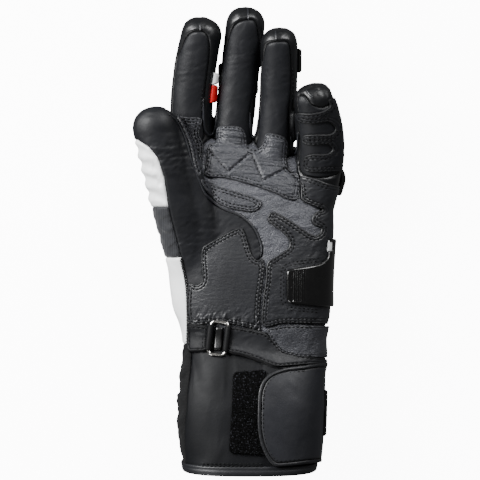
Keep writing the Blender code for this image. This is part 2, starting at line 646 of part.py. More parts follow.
def loop_frame(clearance):
    """Where the metal loop lies: flat over the palm side, its middle plane this far clear of it."""
    u, v = LOOP_MIDDLE
    reach_u, reach_v = (RING_ACROSS - RING_WIRE) / ACROSS / 2, RING_ALONG / ALONG / 2
    tilt_across = (palm_height(u + reach_u, v) - palm_height(u - reach_u, v)) / (RING_ACROSS - RING_WIRE)
    tilt_along = (palm_height(u, v + reach_v) - palm_height(u, v - reach_v)) / RING_ALONG
    across = Vector((1, 0, tilt_across)).normalized()
    normal = across.cross(Vector((0, 1, tilt_along))).normalized()
    level = palm_height(u, v)
    lift = 0.0
    for du in (-reach_u, reach_u):
        for dv in np.linspace(-0.8 * reach_v, 0.8 * reach_v, 7):
            plane = level + tilt_across * du * ACROSS + tilt_along * dv * ALONG
            lift = max(lift, palm_height(u + du, v + dv) - plane)
    centre = Vector((u * ACROSS, v * ALONG, level + lift)) + normal * clearance
    frame = Matrix((across, normal.cross(across), normal)).transposed().to_4x4()
    frame.translation = centre
    return frame @ Matrix.Rotation(math.radians(LOOP_TURN), 4, "Z")


def wire_loop(name):
    """The rounded rectangle of round wire, in its own frame."""
    half_u, half_v = (RING_ACROSS - RING_WIRE) / 2, (RING_ALONG - RING_WIRE) / 2
    curve = bpy.data.curves.new(name, "CURVE")
    curve.dimensions = "3D"
    curve.bevel_depth = RING_WIRE / 2
    curve.bevel_resolution = 1
    spline = curve.splines.new("POLY")
    places = []
    for corner, (sign_u, sign_v) in enumerate(((1, 1), (-1, 1), (-1, -1), (1, -1))):
        for step in range(3):
            turn = math.radians(90 * corner + 45 * step)
            places.append((
                sign_u * (half_u - RING_CORNER) + RING_CORNER * math.cos(turn),
                sign_v * (half_v - RING_CORNER) + RING_CORNER * math.sin(turn),
            ))
    spline.points.add(len(places) - 1)
    for point, (x, y) in zip(spline.points, places):
        point.co = (x, y, 0, 1)
    spline.use_cyclic_u = True
    drawn = mesh_object(name, curve)
    bpy.context.view_layer.update()
    mesh = bpy.data.meshes.new_from_object(drawn.evaluated_get(bpy.context.evaluated_depsgraph_get()))
    bpy.data.objects.remove(drawn)
    return mesh_object(name, mesh)


def rod(name, radius, length, middle_u):
    """A round rod along the loop's own Y, this far across it."""
    turns = np.arange(ROD_SIDES) * (2 * math.pi / ROD_SIDES)
    rings = [
        np.stack([middle_u + radius * np.cos(turns), np.full(ROD_SIDES, end), radius * np.sin(turns)], axis=1)
        for end in (-length / 2, length / 2)
    ]
    return loft(name, rings, (middle_u, length / 2 + radius * 0.001, 0))


def placed(item, frame):
    item.data.transform(frame)
    return item


def fit_strap():
    """The wrist strap, its side tab, the stub on the left, and the metal loop with its keeper.

    The stub and the strap are each folded round one long bar of the loop, and doubled beside it.
    """
    split = SIDE_SEAM * PALM_DEPTH
    sleeve = RING_WIRE / 2 + GAP + FOLD
    frame = loop_frame(GAP + sleeve)
    length = RING_ALONG - 2 * RING_WIRE - 2 * GAP - 0.0016
    bar = (RING_ACROSS - RING_WIRE) / 2
    part("strap_loop", placed(wire_loop("loop"), frame), "steel", STEEL)

    band = block("strap_zone", STRAP_OUTLINE)
    stub = panel("stub_zone", STUB_OUTLINE, split)
    for name, zone, doubled, place in (
        ("wrist_strap", band, STRAP_DOUBLED, bar),
        ("strap_stub", stub, STUB_DOUBLED, -bar),
    ):
        fold = placed(rod(f"{name}_fold", sleeve, length, place), frame)
        bore = placed(rod(f"{name}_bore", RING_WIRE / 2 + GAP, 2 * length, place), frame)
        twice = layer(f"{name}_doubled", block(f"{name}_doubled_zone", doubled, split), DOUBLED_LEVELS)
        joined = union(f"{name}_joined", layer(f"{name}_layer", zone, STRAP_LEVELS), twice, fold)
        part(name, cut(f"{name}_bored", joined, bore), "leather_black", LEATHER_BLACK)
    keeper = layer("keeper_layer", panel("keeper_zone", KEEPER_OUTLINE, split), KEEPER_LEVELS)
    part("strap_keeper", keeper, "rubber_black", RUBBER_BLACK)
    tab = panel("tab_zone", TAB_OUTLINE, split)
    part("side_tab", layer("tab_layer", tab, TAB_LEVELS), "leather_black", LEATHER_BLACK)


def fit_cuff_fittings():
    """The loop pile on the cuff, the closing flap with its binding, and the wrist guard."""
    split = SIDE_SEAM * CUFF_DEPTH
    foot = FLAP_FOOT * CUFF_DEPTH
    pile = panel("pile_zone", LOOP_PATCH, split)
    part("loop_pile", layer("pile_layer", pile, PILE_LEVELS), "pile_black", PILE_BLACK)

    rim = FLAP_BINDING_WIDTH
    whole = panel("flap_whole", FLAP_OUTLINE, foot)
    centre = panel("flap_centre", FLAP_OUTLINE, foot, grow=-rim)
    clear = panel("flap_centre_clear", FLAP_OUTLINE, foot - GAP, grow=GAP - rim)
    part("cuff_flap", layer("flap_layer", centre, FLAP_LEVELS), "leather_black", LEATHER_BLACK)
    rim_zone = cut("flap_rim", whole, clear)
    part("flap_binding", layer("binding_layer", rim_zone, FLAP_LEVELS), "binding_black", LEATHER_BLACK)


def fit_guards():
    """The knuckle guard, which the glove lies on, the wrist guard, and a guard on each finger's back."""
    split = SIDE_SEAM * PALM_DEPTH
    zone = panel("knuckle_zone", KNUCKLE_GUARD, CELLAR, split - GAP)
    outside = trunk("guard_outside", GUARD_LEVELS[1])
    table = block("table", [(-FAR, 240), (FAR, 240), (FAR, -240), (-FAR, -240)], 2 * CELLAR, 0.0)
    near = form_at(GUARD_LEVELS[0])
    solid = cut("knuckle_solid", common("knuckle_block", zone, outside), near, table)
    part("knuckle_guard", solid, "moulded_black", MOULDED_BLACK)

    bump = panel("wrist_guard_zone", WRIST_GUARD_OUTLINE, 0.2 * CUFF_DEPTH, 0.6 * CUFF_DEPTH)
    part("wrist_guard", layer("wrist_guard_layer", bump, WRIST_GUARD_LEVELS), "moulded_black", MOULDED_BLACK)

    for which in FINGERS:
        start, end, left, right = FINGER_GUARDS[which]
        slope, low = finger_plane(which)
        top = low - GUARD_DROP * FINGER_DEPTH
        outline = [(left, start), (right, start), (right, end), (left, end)]
        slab = block(f"{which}_guard_zone", outline, top - PALM_DEPTH, top, slope=slope)
        shell = common(f"{which}_guard_block", slab, limb(f"{which}_guard_out", which, FINGER_GUARD_LEVELS[1]))
        near = limb(f"{which}_guard_in", which, FINGER_GUARD_LEVELS[0])
        look_name, look = ("guard_red", GUARD_RED) if which == "index" else ("moulded_black", MOULDED_BLACK)
        part(f"{which}_guard", cut(f"{which}_guard_shell", shell, near), look_name, look)


def centre_glove():
    """Moves every piece together, so that the glove's box stands centred on the origin, on z = 0."""
    corners = np.array([vertex.co for item in GLOVE.objects for vertex in item.data.vertices])
    low, high = corners.min(axis=0), corners.max(axis=0)
    middle = (low + high) / 2
    shift = Matrix.Translation((-middle[0], -middle[1], -low[2]))
    for item in GLOVE.objects:
        item.data.transform(shift)


clear_scene()
GLOVE = collection("motorcycle_gauntlet")
CUTTERS = collection("cutters")
FORMS = {}
CAVITY = hand_form("cavity", -LEATHER, 6 * LEATHER)
WALL = cut("wall", hand_form("body", 0.0, limbs=("thumb",)), CAVITY)
cut_hand_panels(WALL)
cut_fingers(CAVITY)
cut_cuff(WALL)
sew_patches()
fit_slider()
fit_strap()
fit_cuff_fittings()
fit_guards()
centre_glove()
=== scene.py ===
"""A leather motorcycle gauntlet for the left hand, lying on its back with the palm up.

The script follows the glove as it is sewn together: the hand and its leather panels, the patches,
the moulded guards, the wrist strap, and the cuff with its flap. Lengths are in metres.
"""

import math

import bpy
import numpy as np
from mathutils.kdtree import KDTree
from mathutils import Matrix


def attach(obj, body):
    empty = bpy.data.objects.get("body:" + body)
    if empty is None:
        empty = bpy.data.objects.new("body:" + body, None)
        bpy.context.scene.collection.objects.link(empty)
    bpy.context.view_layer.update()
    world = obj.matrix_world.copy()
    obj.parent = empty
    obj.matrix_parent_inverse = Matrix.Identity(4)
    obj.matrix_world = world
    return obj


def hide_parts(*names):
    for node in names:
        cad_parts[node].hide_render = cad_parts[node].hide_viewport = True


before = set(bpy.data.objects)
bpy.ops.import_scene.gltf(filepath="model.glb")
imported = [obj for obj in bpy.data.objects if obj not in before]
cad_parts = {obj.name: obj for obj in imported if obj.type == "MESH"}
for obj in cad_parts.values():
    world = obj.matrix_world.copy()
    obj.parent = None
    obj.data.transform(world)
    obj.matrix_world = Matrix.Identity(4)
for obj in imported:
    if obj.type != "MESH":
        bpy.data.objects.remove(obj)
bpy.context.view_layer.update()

# The hand
# The glove keeps the form of a hand in a cuff: a trunk of flattened sections from the hem to the
# knuckles, with a curved tube for each finger and the thumb. Every panel is cut from its surface.
ACROSS = 0.106 / 160
ALONG = 0.309 / 468
SHIFT = np.array([-0.000144, 0.00116, 0.0])
PALM_DEPTH = 0.044
CUFF_DEPTH = 0.061
TABLE_LEVEL = 0.0015
TRUNK = [
    # along, middle and half width on the pattern grid, height and half depth in mm, skew
    (-228.5, 9.5, 65.5, 31.0, 30.5, 0.00),
    (-220, 9.5, 67.0, 31.0, 30.5, 0.00),
    (-200, 8.5, 69.8, 31.0, 30.5, 0.02),
    (-170, 8.5, 71.0, 31.0, 30.0, 0.05),
    (-145, 10.0, 70.0, 30.0, 28.0, 0.10),
    (-122, 11.5, 69.0, 28.5, 24.4, 0.15),
    (-105, 12.0, 71.2, 27.0, 22.0, 0.20),
    (-82, 7.5, 75.0, 28.0, 22.0, 0.20),
    (-60, 8.5, 79.5, 28.0, 22.5, 0.20),
    (-30, 9.0, 79.5, 28.0, 22.5, 0.20),
    (0, 13.0, 77.0, 27.0, 21.5, 0.20),
    (25, 14.5, 77.5, 26.4, 20.7, 0.20),
    (50, 13.5, 79.0, 24.6, 19.8, 0.20),
    (78, 15.3, 84.2, 22.0, 17.6, 0.20),
]
TRUNK_DOME = 18 * ALONG
TRUNK_ROUNDNESS = 2.6
MOUTH_LEAN = 0.13
LEAN_START = -190
LIMBS = {
    # root, bend and tip, each as across and along on the grid and a share of the palm's depth, then
    # the half widths on the grid and half depths in mm at those three places, and the tip's dome
    "index": (
        (-39, 24, 0.58), (-61, 128, 0.49), (-34.6, 221, 0.91), (16, 20.9, 19.3), (10.9, 12.7, 11.4), 17,
    ),
    "middle": (
        (-14, 40, 0.55), (-3.9, 143, 0.48), (7.5, 232, 0.86), (20, 19.3, 19.3), (12, 12.7, 11.7), 18,
    ),
    "ring": (
        (28, 40, 0.57), (41, 125, 0.60), (39, 211.5, 1.05), (19, 18.7, 18), (12, 12.5, 11.2), 17,
    ),
    "little": (
        (68, 18, 0.58), (91.3, 95, 0.78), (69, 154, 1.27), (17, 22.6, 17), (10.9, 12, 10.9), 16,
    ),
    "thumb": (
        (-32, -62, 0.64), (-68, 45, 0.97), (-89.5, 132, 1.2), (30, 25.2, 22.2), (12.2, 14.5, 12.6), 24,
    ),
}
# leather that bridges the palm and the thumb, and two of the forks between the fingers
WEBS = {
    "thumb_web": ((-30, -14, 0.86), (-50, 66, 0.98), (-71, 124, 1.08), (18, 16, 9), (10, 10, 8), 8),
    "crotch_web": ((14, 70, 0.55), (14.5, 86, 0.55), (15, 105, 0.56), (7, 7, 5), (8, 8, 6), 5),
    "little_web": ((56, 102, 0.66), (55.5, 114, 0.74), (57, 130, 0.88), (4.5, 4.5, 4.5), (6, 6, 6), 4),
}
THUMB_FORK = [
    (-73, 129), (-68, 122), (-62.6, 118.2), (-55.1, 103.3), (-50.5, 88.3), (-47.1, 74), (-39.6, 59.6),
    (-36, 40), (20, 0), (20, -100), (-200, -100), (-200, 180), (-80, 180),
]
FINGERS = ("index", "middle", "ring", "little")
LIMB_ROUNDNESS = 2.2
VOXEL = 0.001
THUMB_FOLD = 0.006
CROTCH = 0.0015
FORK_REACH = 0.006
FORK_START = 60


def smooth_through(points, count, closed=False):
    """Points evenly spaced by number on a Catmull-Rom curve: for four points in a row p0 to p3,
    half of 2 p1 + (p2 - p0) t + (2 p0 - 5 p1 + 4 p2 - p3) t^2 + (3 p1 - p0 - 3 p2 + p3) t^3."""
    points = np.asarray(points, float)
    if closed:
        padded = np.vstack([points[-1:], points, points[:2]])
        place = np.linspace(0, len(points), count, endpoint=False)
    else:
        padded = np.vstack([2 * points[0] - points[1], points, 2 * points[-1] - points[-2]])
        place = np.linspace(0, len(points) - 1, count)
    span = np.minimum(place.astype(int), len(padded) - 4)
    t = (place - span)[:, None]
    p0, p1, p2, p3 = (padded[span + i] for i in range(4))
    cubic = (2 * p0 - 5 * p1 + 4 * p2 - p3) * t**2 + (3 * p1 - p0 - 3 * p2 + p3) * t**3
    return 0.5 * (2 * p1 + (p2 - p0) * t + cubic)


TRUNK_LINE = smooth_through(TRUNK, 240) * (1, ACROSS, ACROSS, 0.001, 0.001, 1)


def rounded_section(sides, roundness):
    """A superellipse with unit half widths: cosine and sine of the turn, to the power 2 / roundness."""
    turn = np.arange(sides) * (2 * math.pi / sides)
    pair = np.stack([np.cos(turn), np.sin(turn)])
    return np.sign(pair) * np.abs(pair) ** (2 / roundness)


def dome(steps, roundness):
    """Forward and sideways shares of a rounded end: sine and cosine, to the power 2 / roundness."""
    turn = np.linspace(0, math.pi / 2, steps + 1)[1:-1]
    return np.stack([np.sin(turn), np.cos(turn)]) ** (2 / roundness)


def mouth_lean(along):
    """The lean of a section, which rises evenly from nothing to that of the mouth of the cuff."""
    return MOUTH_LEAN * np.clip((LEAN_START - along) / (LEAN_START - TRUNK[0][0]), 0, 1)


def trunk_rings(rows, offset, sides, forward=0.0, share=1.0):
    """Rings of the trunk, one for each row: a superellipse whose half widths have grown by offset,
    slid along by - skew x - lean z + forward, and never below the table."""
    wide, deep = rounded_section(sides, TRUNK_ROUNDNESS)
    along, middle, half_width, height, half_depth, skew = (column[:, None] for column in rows.T)
    x = wide * (half_width + offset) * share
    z = deep * (half_depth + offset) * share
    z = np.maximum(z, TABLE_LEVEL - offset - height)
    y = along * ALONG - skew * x - mouth_lean(along) * z + forward
    return np.stack([middle + x, y, height + z], axis=2)


def limb_frame(which):
    """A limb's middle line, a Bezier curve r (1-t)^2 + 2 b t (1-t) + e t^2, with the directions along
    and across it, its half widths and half depths from a parabola through three sizes, and the
    distance travelled along it."""
    root, bend, tip, half_widths, half_depths, dome_length = {**LIMBS, **WEBS}[which]
    root, bend, tip = (np.array(p) * (ACROSS, ALONG, PALM_DEPTH) for p in (root, bend, tip))
    t = np.linspace(0, 1, 90)[:, None]
    points = root * (1 - t) ** 2 + 2 * bend * t * (1 - t) + tip * t**2
    way = 2 * (bend - root) * (1 - t) + 2 * (tip - bend) * t
    way /= np.linalg.norm(way, axis=1)[:, None]
    side = np.cross(way, (0, 0, 1))
    side /= np.linalg.norm(side, axis=1)[:, None]
    up = np.cross(side, way)
    parabola = np.hstack([(1 - t) * (1 - 2 * t), 4 * t * (1 - t), t * (2 * t - 1)])
    half_width = parabola @ np.array(half_widths) * ACROSS
    half_depth = parabola @ np.array(half_depths) * 0.001
    travelled = np.append(0, np.cumsum(np.linalg.norm(np.diff(points, axis=0), axis=1)))
    rim = int(np.searchsorted(travelled, travelled[-1] - dome_length * ALONG))
    return points, way, side, up, half_width, half_depth, rim, dome_length * ALONG


def limb_rings(which, sides=48):
    """Rings across the limb's middle line up to the rim of its tip, then a dome on the rim."""
    points, way, side, up, half_width, half_depth, rim, dome_length = limb_frame(which)
    wide, deep = rounded_section(sides, LIMB_ROUNDNESS)
    forward, share = dome(12, LIMB_ROUNDNESS)
    row = np.append(np.arange(rim + 1), np.full(len(forward), rim))
    ahead = np.append(np.zeros(rim + 1), forward * dome_length)[:, None, None]
    size = np.append(np.ones(rim + 1), share)[:, None]
    out = (wide * half_width[row, None] * size)[..., None] * side[row, None]
    raised = (deep * half_depth[row, None] * size)[..., None] * up[row, None]
    return points[row, None] + ahead * way[row, None] + out + raised, points[rim] + way[rim] * dome_length


def ring_quads(count, sides, closed=False):
    """The quads between neighbouring rings of points, and between the last and first where closed."""
    ring, place = np.meshgrid(np.arange(count if closed else count - 1), np.arange(sides), indexing="ij")
    low, high, beside = ring * sides, (ring + 1) % count * sides, (place + 1) % sides
    return np.stack([low + place, high + place, high + beside, low + beside], axis=-1).reshape(-1, 4)


def closed_tube(rings, pole):
    """Points and faces of a tube through rings, with a flat first end and a last end drawn to a pole."""
    count, sides = rings.shape[:2]
    points = np.vstack([rings.reshape(-1, 3), pole])
    last, tip = (count - 1) * sides, len(points) - 1
    around = np.arange(sides)
    cap = np.stack([last + (around + 1) % sides, last + around, np.full(sides, tip)], axis=1)
    return points, [tuple(range(sides)), *ring_quads(count, sides).tolist(), *cap.tolist()]


def relaxed(points, faces, times, share=0.5):
    """Each point moved a share of the way to the mean of its neighbours, as often as times says."""
    pairs = np.vstack([faces[:, [0, 1]], faces[:, [1, 2]], faces[:, [2, 0]]])
    pairs = np.unique(np.sort(pairs, axis=1), axis=0)
    one, other = pairs[:, 0], pairs[:, 1]
    total = len(points)
    count = np.bincount(one, minlength=total) + np.bincount(other, minlength=total)
    share = np.broadcast_to(share, total)[:, None]
    for _ in range(times):
        mean = np.stack([
            np.bincount(one, points[other, axis], total) + np.bincount(other, points[one, axis], total)
            for axis in range(points.shape[1])
        ], axis=1) / count[:, None]
        points = points + (mean - points) * share
    return points


def normals_of(points, faces):
    """The sum of the face normals round each point, made a unit long."""
    across = np.cross(points[faces[:, 1]] - points[faces[:, 0]], points[faces[:, 2]] - points[faces[:, 0]])
    total = np.stack([
        sum(np.bincount(faces[:, corner], across[:, axis], len(points)) for corner in range(3))
        for axis in range(3)
    ], axis=1)
    return total / np.maximum(np.linalg.norm(total, axis=1), 1e-20)[:, None]


def limb_distance(points, which):
    """Roughly how far points are outside a limb: from the nearest place on its middle line, the
    superellipse norm less one, times the distance over the norm."""
    line, way, side, up, half_width, half_depth, rim, dome_length = limb_frame(which)
    nearest = np.concatenate([
        ((part[:, None] - line[None, : rim + 1]) ** 2).sum(axis=2).argmin(axis=1)
        for part in np.array_split(points, max(len(points) // 20000, 1))
    ])
    away = points - line[nearest]
    a = np.abs((away * side[nearest]).sum(axis=1)) / half_width[nearest]
    b = np.abs((away * up[nearest]).sum(axis=1)) / half_depth[nearest]
    ahead = (away * way[nearest]).sum(axis=1)
    before = np.where(nearest == 0, -ahead / half_width[0], 0.0)
    ahead = np.where(nearest == rim, ahead / dome_length, before)
    parts = a**LIMB_ROUNDNESS + b**LIMB_ROUNDNESS + np.maximum(ahead, 0) ** LIMB_ROUNDNESS
    norm = parts ** (1 / LIMB_ROUNDNESS)
    return (norm - 1) * np.linalg.norm(away, axis=1) / np.maximum(norm, 1e-6)


def trunk_distance(points):
    """Roughly how far points are outside the trunk, from the section that passes through each."""
    x, y, z = points.T
    along = y / ALONG
    for _ in range(6):
        middle, half_width, height, half_depth, skew = (
            np.interp(along, TRUNK_LINE[:, 0], TRUNK_LINE[:, i]) for i in range(1, 6)
        )
        along = (y + skew * (x - middle) + mouth_lean(along) * (z - height)) / ALONG
    ahead = np.maximum(along - TRUNK[-1][0], 0) * ALONG / TRUNK_DOME
    parts = np.abs([(x - middle) / half_width, (z - height) / half_depth, ahead]) ** TRUNK_ROUNDNESS
    norm = parts.sum(axis=0) ** (1 / TRUNK_ROUNDNESS)
    away = np.hypot(x - middle, z - height)
    return (norm - 1) * away / np.maximum(norm, 1e-6)


def on_grid(points):
    """Places on the pattern grid in metres."""
    return np.array(points, float) * (ACROSS, ALONG)


def outline_distance(points, outline):
    """How far each point is outside a closed outline seen from the palm, negative inside: the least
    distance to its edges, with its sign from how many edges a ray towards +X crosses."""
    outline = np.asarray(outline)
    along = np.roll(outline, -1, axis=0) - outline
    result = []
    for part in np.array_split(points[:, :2], max(len(points) // 8000, 1)):
        away = part[:, None] - outline
        share = np.clip((away * along).sum(axis=2) / (along**2).sum(axis=1), 0, 1)
        least = np.sqrt(((away - share[..., None] * along) ** 2).sum(axis=2).min(axis=1))
        over = (away[..., 1] >= 0) != (away[..., 1] >= along[:, 1])
        height = np.where(along[:, 1] == 0, 1, along[:, 1])
        crossed = over & (away[..., 0] < away[..., 1] / height * along[:, 0])
        result.append(np.where(crossed.sum(axis=1) % 2 == 1, -least, least))
    return np.concatenate(result)


def hand_surface():
    """The outside of the whole hand and cuff as one skin of small triangles, with its normals and how
    far each point is from the trunk and from each limb."""
    rings = np.concatenate([
        trunk_rings(TRUNK_LINE, 0.0, 96),
        *[
            trunk_rings(TRUNK_LINE[-1:], 0.0, 96, forward * TRUNK_DOME, share)
            for forward, share in dome(10, TRUNK_ROUNDNESS).T
        ],
    ])
    last = TRUNK_LINE[-1]
    bodies = [closed_tube(rings, (last[1], last[0] * ALONG + TRUNK_DOME, last[3]))]
    bodies += [closed_tube(*limb_rings(which)) for which in (*LIMBS, *WEBS)]
    points, faces = [], []
    for body_points, body_faces in bodies:
        start = sum(map(len, points))
        points.append(body_points)
        faces += [tuple(start + corner for corner in face) for face in body_faces]
    mesh = bpy.data.meshes.new("hand_bodies")
    mesh.from_pydata(np.vstack(points).tolist(), [], faces)
    bodies = bpy.data.objects.new("hand_bodies", mesh)
    bpy.context.scene.collection.objects.link(bodies)
    skin = bodies.modifiers.new("skin", "REMESH")
    skin.mode = "VOXEL"
    skin.voxel_size = VOXEL
    skinned = bpy.data.meshes.new_from_object(bodies.evaluated_get(bpy.context.evaluated_depsgraph_get()))
    bpy.data.objects.remove(bodies)
    points = np.empty(len(skinned.vertices) * 3)
    skinned.vertices.foreach_get("co", points)
    points = points.reshape(-1, 3)
    skinned.calc_loop_triangles()
    faces = np.empty(len(skinned.loop_triangles) * 3, int)
    skinned.loop_triangles.foreach_get("vertices", faces)
    faces = faces.reshape(-1, 3)
    points = relaxed(points, faces, 3)
    away = np.stack([trunk_distance(points), *[limb_distance(points, which) for which in LIMBS]], axis=1)
    # leather bridges the fold between thumb and palm, and the crotches a little
    least = np.sort(np.abs(away), axis=1)
    thumb_fold = np.exp(-((np.abs(away[:, 0]) + np.abs(away[:, 5])) / THUMB_FOLD) ** 2)
    crotch = np.exp(-(least[:, 1] / CROTCH) ** 2)
    points = relaxed(points, faces, 24, 0.5 * np.maximum(thumb_fold, 0.35 * crotch))
    # above the fold the seam between thumb and index finger follows the outline of the fork: near it
    # the distance from the index finger is that from the thumb less the distance from the outline
    beyond = outline_distance(points, on_grid(THUMB_FORK))
    share = np.clip(1 - np.abs(beyond) / FORK_REACH, 0, 1)
    share = share * np.clip((points[:, 2] - 0.5 * PALM_DEPTH) / 0.003, 0, 1)
    share = share * np.clip((points[:, 1] / ALONG - FORK_START) / 8, 0, 1)
    away[:, 1] += (away[:, 5] - beyond - away[:, 1]) * share
    return np.hstack([points, normals_of(points, faces), away]), faces


HAND, HAND_FACES = hand_surface()

# The palm and the ball of the thumb
# Goatskin on the palm, with a pebbled grain, and smooth cowhide round the thumb. Both are chrome
# tanned, dyed through and finished nearly matt, and the seams pull their edges down into a groove.

# the columns of HAND are place, normal and then how far a point is from the trunk and each limb
TRUNK_AWAY = 6
AWAY = {"index": 7, "middle": 8, "ring": 9, "little": 10, "thumb": 11}


def curved(points, corners=6):
    """A closed outline from the pattern grid, drawn as a smooth curve through its points."""
    return smooth_through(on_grid(points), len(points) * corners, closed=True)


def divided(points, faces, level):
    """The triangles cut in two along the line where level passes through zero. The point on an edge
    from a to b is a + (b - a) level(a) / (level(a) - level(b))."""
    level = np.where(np.abs(level) < 0.00004, 0.0, level)
    beyond = (level > 0)[faces]
    count = beyond.sum(axis=1)
    mixed = (count == 1) | (count == 2)
    odd = np.where(count[mixed] == 1, beyond[mixed].argmax(axis=1), (~beyond[mixed]).argmax(axis=1))
    a, b, c = np.take_along_axis(faces[mixed], (odd[:, None] + np.arange(3)) % 3, axis=1).T
    pairs = np.sort(np.stack([np.append(a, a), np.append(b, c)], axis=1), axis=1)
    edges, where = np.unique(pairs, axis=0, return_inverse=True)
    first, second = level[edges[:, 0]], level[edges[:, 1]]
    share = (first / (first - second))[:, None]
    fresh = points[edges[:, 0]] * (1 - share) + points[edges[:, 1]] * share
    ab, ac = (where.reshape(-1) + len(points)).reshape(2, -1)
    cut = np.concatenate([np.stack(trio, axis=1) for trio in ((a, ab, ac), (ab, b, c), (ab, c, ac))])
    level = np.append(level, np.zeros(len(edges)))
    return np.vstack([points, fresh]), np.vstack([faces[~mixed], cut]), level


def compact(points, faces):
    """Points that lie in one place made one, and unused points and empty faces left out."""
    cells = np.round(points[:, :3] * 1e7).astype(int)
    _, first, same = np.unique(cells, axis=0, return_index=True, return_inverse=True)
    faces = same.reshape(-1)[faces]
    faces = faces[(faces != np.roll(faces, 1, axis=1)).all(axis=1)]
    used, faces = np.unique(faces, return_inverse=True)
    return points[first[used]], faces.reshape(-1, 3)


def finer(points, faces):
    """Each triangle made four, through the middles of its edges."""
    a, b, c = faces.T
    pairs = np.sort(np.stack([np.concatenate([a, b, c]), np.concatenate([b, c, a])], axis=1), axis=1)
    edges, where = np.unique(pairs, axis=0, return_inverse=True)
    ab, bc, ca = (where.reshape(-1) + len(points)).reshape(3, -1)
    made = [np.stack(trio, axis=1) for trio in ((a, ab, ca), (ab, b, bc), (ca, bc, c), (ab, bc, ca))]
    return np.vstack([points, points[edges].mean(axis=1)]), np.concatenate(made)


def piece(name, points, faces, look, nodes, slot, **values):
    """A mesh object made from whole arrays, riding on the glove. It replaces the nodes named, and
    each further value becomes an attribute of its points."""
    mesh = bpy.data.meshes.new(name)
    mesh.from_pydata((points + SHIFT).tolist(), [], faces.tolist() if hasattr(faces, "tolist") else faces)
    for key, value in values.items():
        mesh.attributes.new(key, "FLOAT", "POINT").data.foreach_set("value", np.asarray(value, np.float32))
    mesh.shade_smooth()
    mesh.materials.append(look)
    made = bpy.data.objects.new(name, mesh)
    bpy.context.scene.collection.objects.link(made)
    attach(made, "root")
    if nodes:
        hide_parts(*nodes)
    return made


def roll(depth, radius, drop):
    """An edge rolled down: minus drop times (1 - depth / radius) squared, inside the radius."""
    return -drop * (1 - np.clip(depth / radius, 0, 1)) ** 2


def ripple(points, length, seed, stretch=(1, 1, 1)):
    """Uneven waves between -1 and 1: the mean of sines along nine set directions, each a little
    longer or shorter than length, and bent by the one before."""
    draw = np.random.default_rng(seed)
    total = np.zeros(len(points))
    bend = 0.0
    for _ in range(9):
        way = draw.normal(size=3) * stretch
        way /= np.linalg.norm(way)
        wave = 2 * math.pi / (length * draw.uniform(0.7, 1.5))
        bend = np.sin(points[:, :3] @ way * wave + draw.uniform(0, 6.3) + 1.3 * bend)
        total += bend
    return total / 4


SEAM_ROWS = (0.4, 0.9, 1.6)
# how far in from a seam its painted shade reaches
EDGE_WIDTH = 0.0007


def cut_panel(
    name, zone, relief, level, thickness, look, slot, rows=SEAM_ROWS, fine=0, nodes=None, bands=()
):
    """A sheet of the hand's surface inside a zone, which is negative inside, as one closed shell.

    Its top is raised along the normals by level and by relief, a function of the points and of their
    depth inside the border. rows are depths in mm at which the mesh is cut, so that a groove is sharp,
    and bands are further functions of the points whose zero lines are cut in."""
    reach = zone(HAND)
    faces = HAND_FACES[(reach[HAND_FACES] < 0.003).any(axis=1)]
    points, faces = compact(HAND, faces)
    for _ in range(fine):
        points, faces = finer(points, faces)
    reach = zone(points)
    points, faces, reach = divided(points, faces, reach)
    faces = faces[(reach[faces] <= 0).all(axis=1)]
    for row in rows:
        points, faces, _ = divided(np.column_stack([points, reach]), faces, reach + row * 0.001)
        points, reach = points[:, :-1], points[:, -1]
    for band in bands:
        points, faces, _ = divided(np.column_stack([points, reach]), faces, band(points))
        points, reach = points[:, :-1], points[:, -1]
    points, faces = compact(np.column_stack([points, reach]), faces)
    points, depth = points[:, :-1], -points[:, -1]
    normals = points[:, 3:6] / np.linalg.norm(points[:, 3:6], axis=1)[:, None]
    top = points[:, :3] + normals * (level + relief(points, depth))[:, None]
    top[:, 2] = np.maximum(top[:, 2], 0.0)
    under = points[:, :3] + normals * (level - thickness)
    sides = np.vstack([faces[:, [0, 1]], faces[:, [1, 2]], faces[:, [2, 0]]])
    _, first, count = np.unique(np.sort(sides, axis=1), axis=0, return_index=True, return_counts=True)
    a, b = sides[first[count == 1]].T
    total = len(points)
    rim = np.vstack([np.stack([b, a, a + total], axis=1), np.stack([b, a + total, b + total], axis=1)])
    whole = np.vstack([faces, faces[:, ::-1] + total, rim])
    # edge weighs the painted shade that the leathers put in the groove along each seam
    edge = np.exp(-((depth / EDGE_WIDTH) ** 2))
    return piece(
        name, np.vstack([top, under]), whole, look, nodes or (name.rpartition("_")[0],), slot,
        edge=np.append(edge, edge), depth=np.append(depth, depth),
    )


def linear(colour):
    """sRGB hex to linear: c / 12.92 up to 0.04045, else ((c + 0.055) / 1.055)^2.4."""
    value = np.array([int(colour[i : i + 2], 16) for i in (1, 3, 5)]) / 255
    return (*np.where(value <= 0.04045, value / 12.92, ((value + 0.055) / 1.055) ** 2.4), 1.0)


def add(tree, kind, settings=(), links=()):
    """Adds a node. A setting is an input's value where the node has an input of that name or number,
    and otherwise a property of the node. A link is an input and the output that feeds it."""
    node = tree.nodes.new(kind)
    for key, value in dict(settings).items():
        if isinstance(key, int) or key in node.inputs:
            node.inputs[key].default_value = value
        else:
            setattr(node, key, value)
    for key, source in dict(links).items():
        tree.links.new(source, node.inputs[key])
    return node


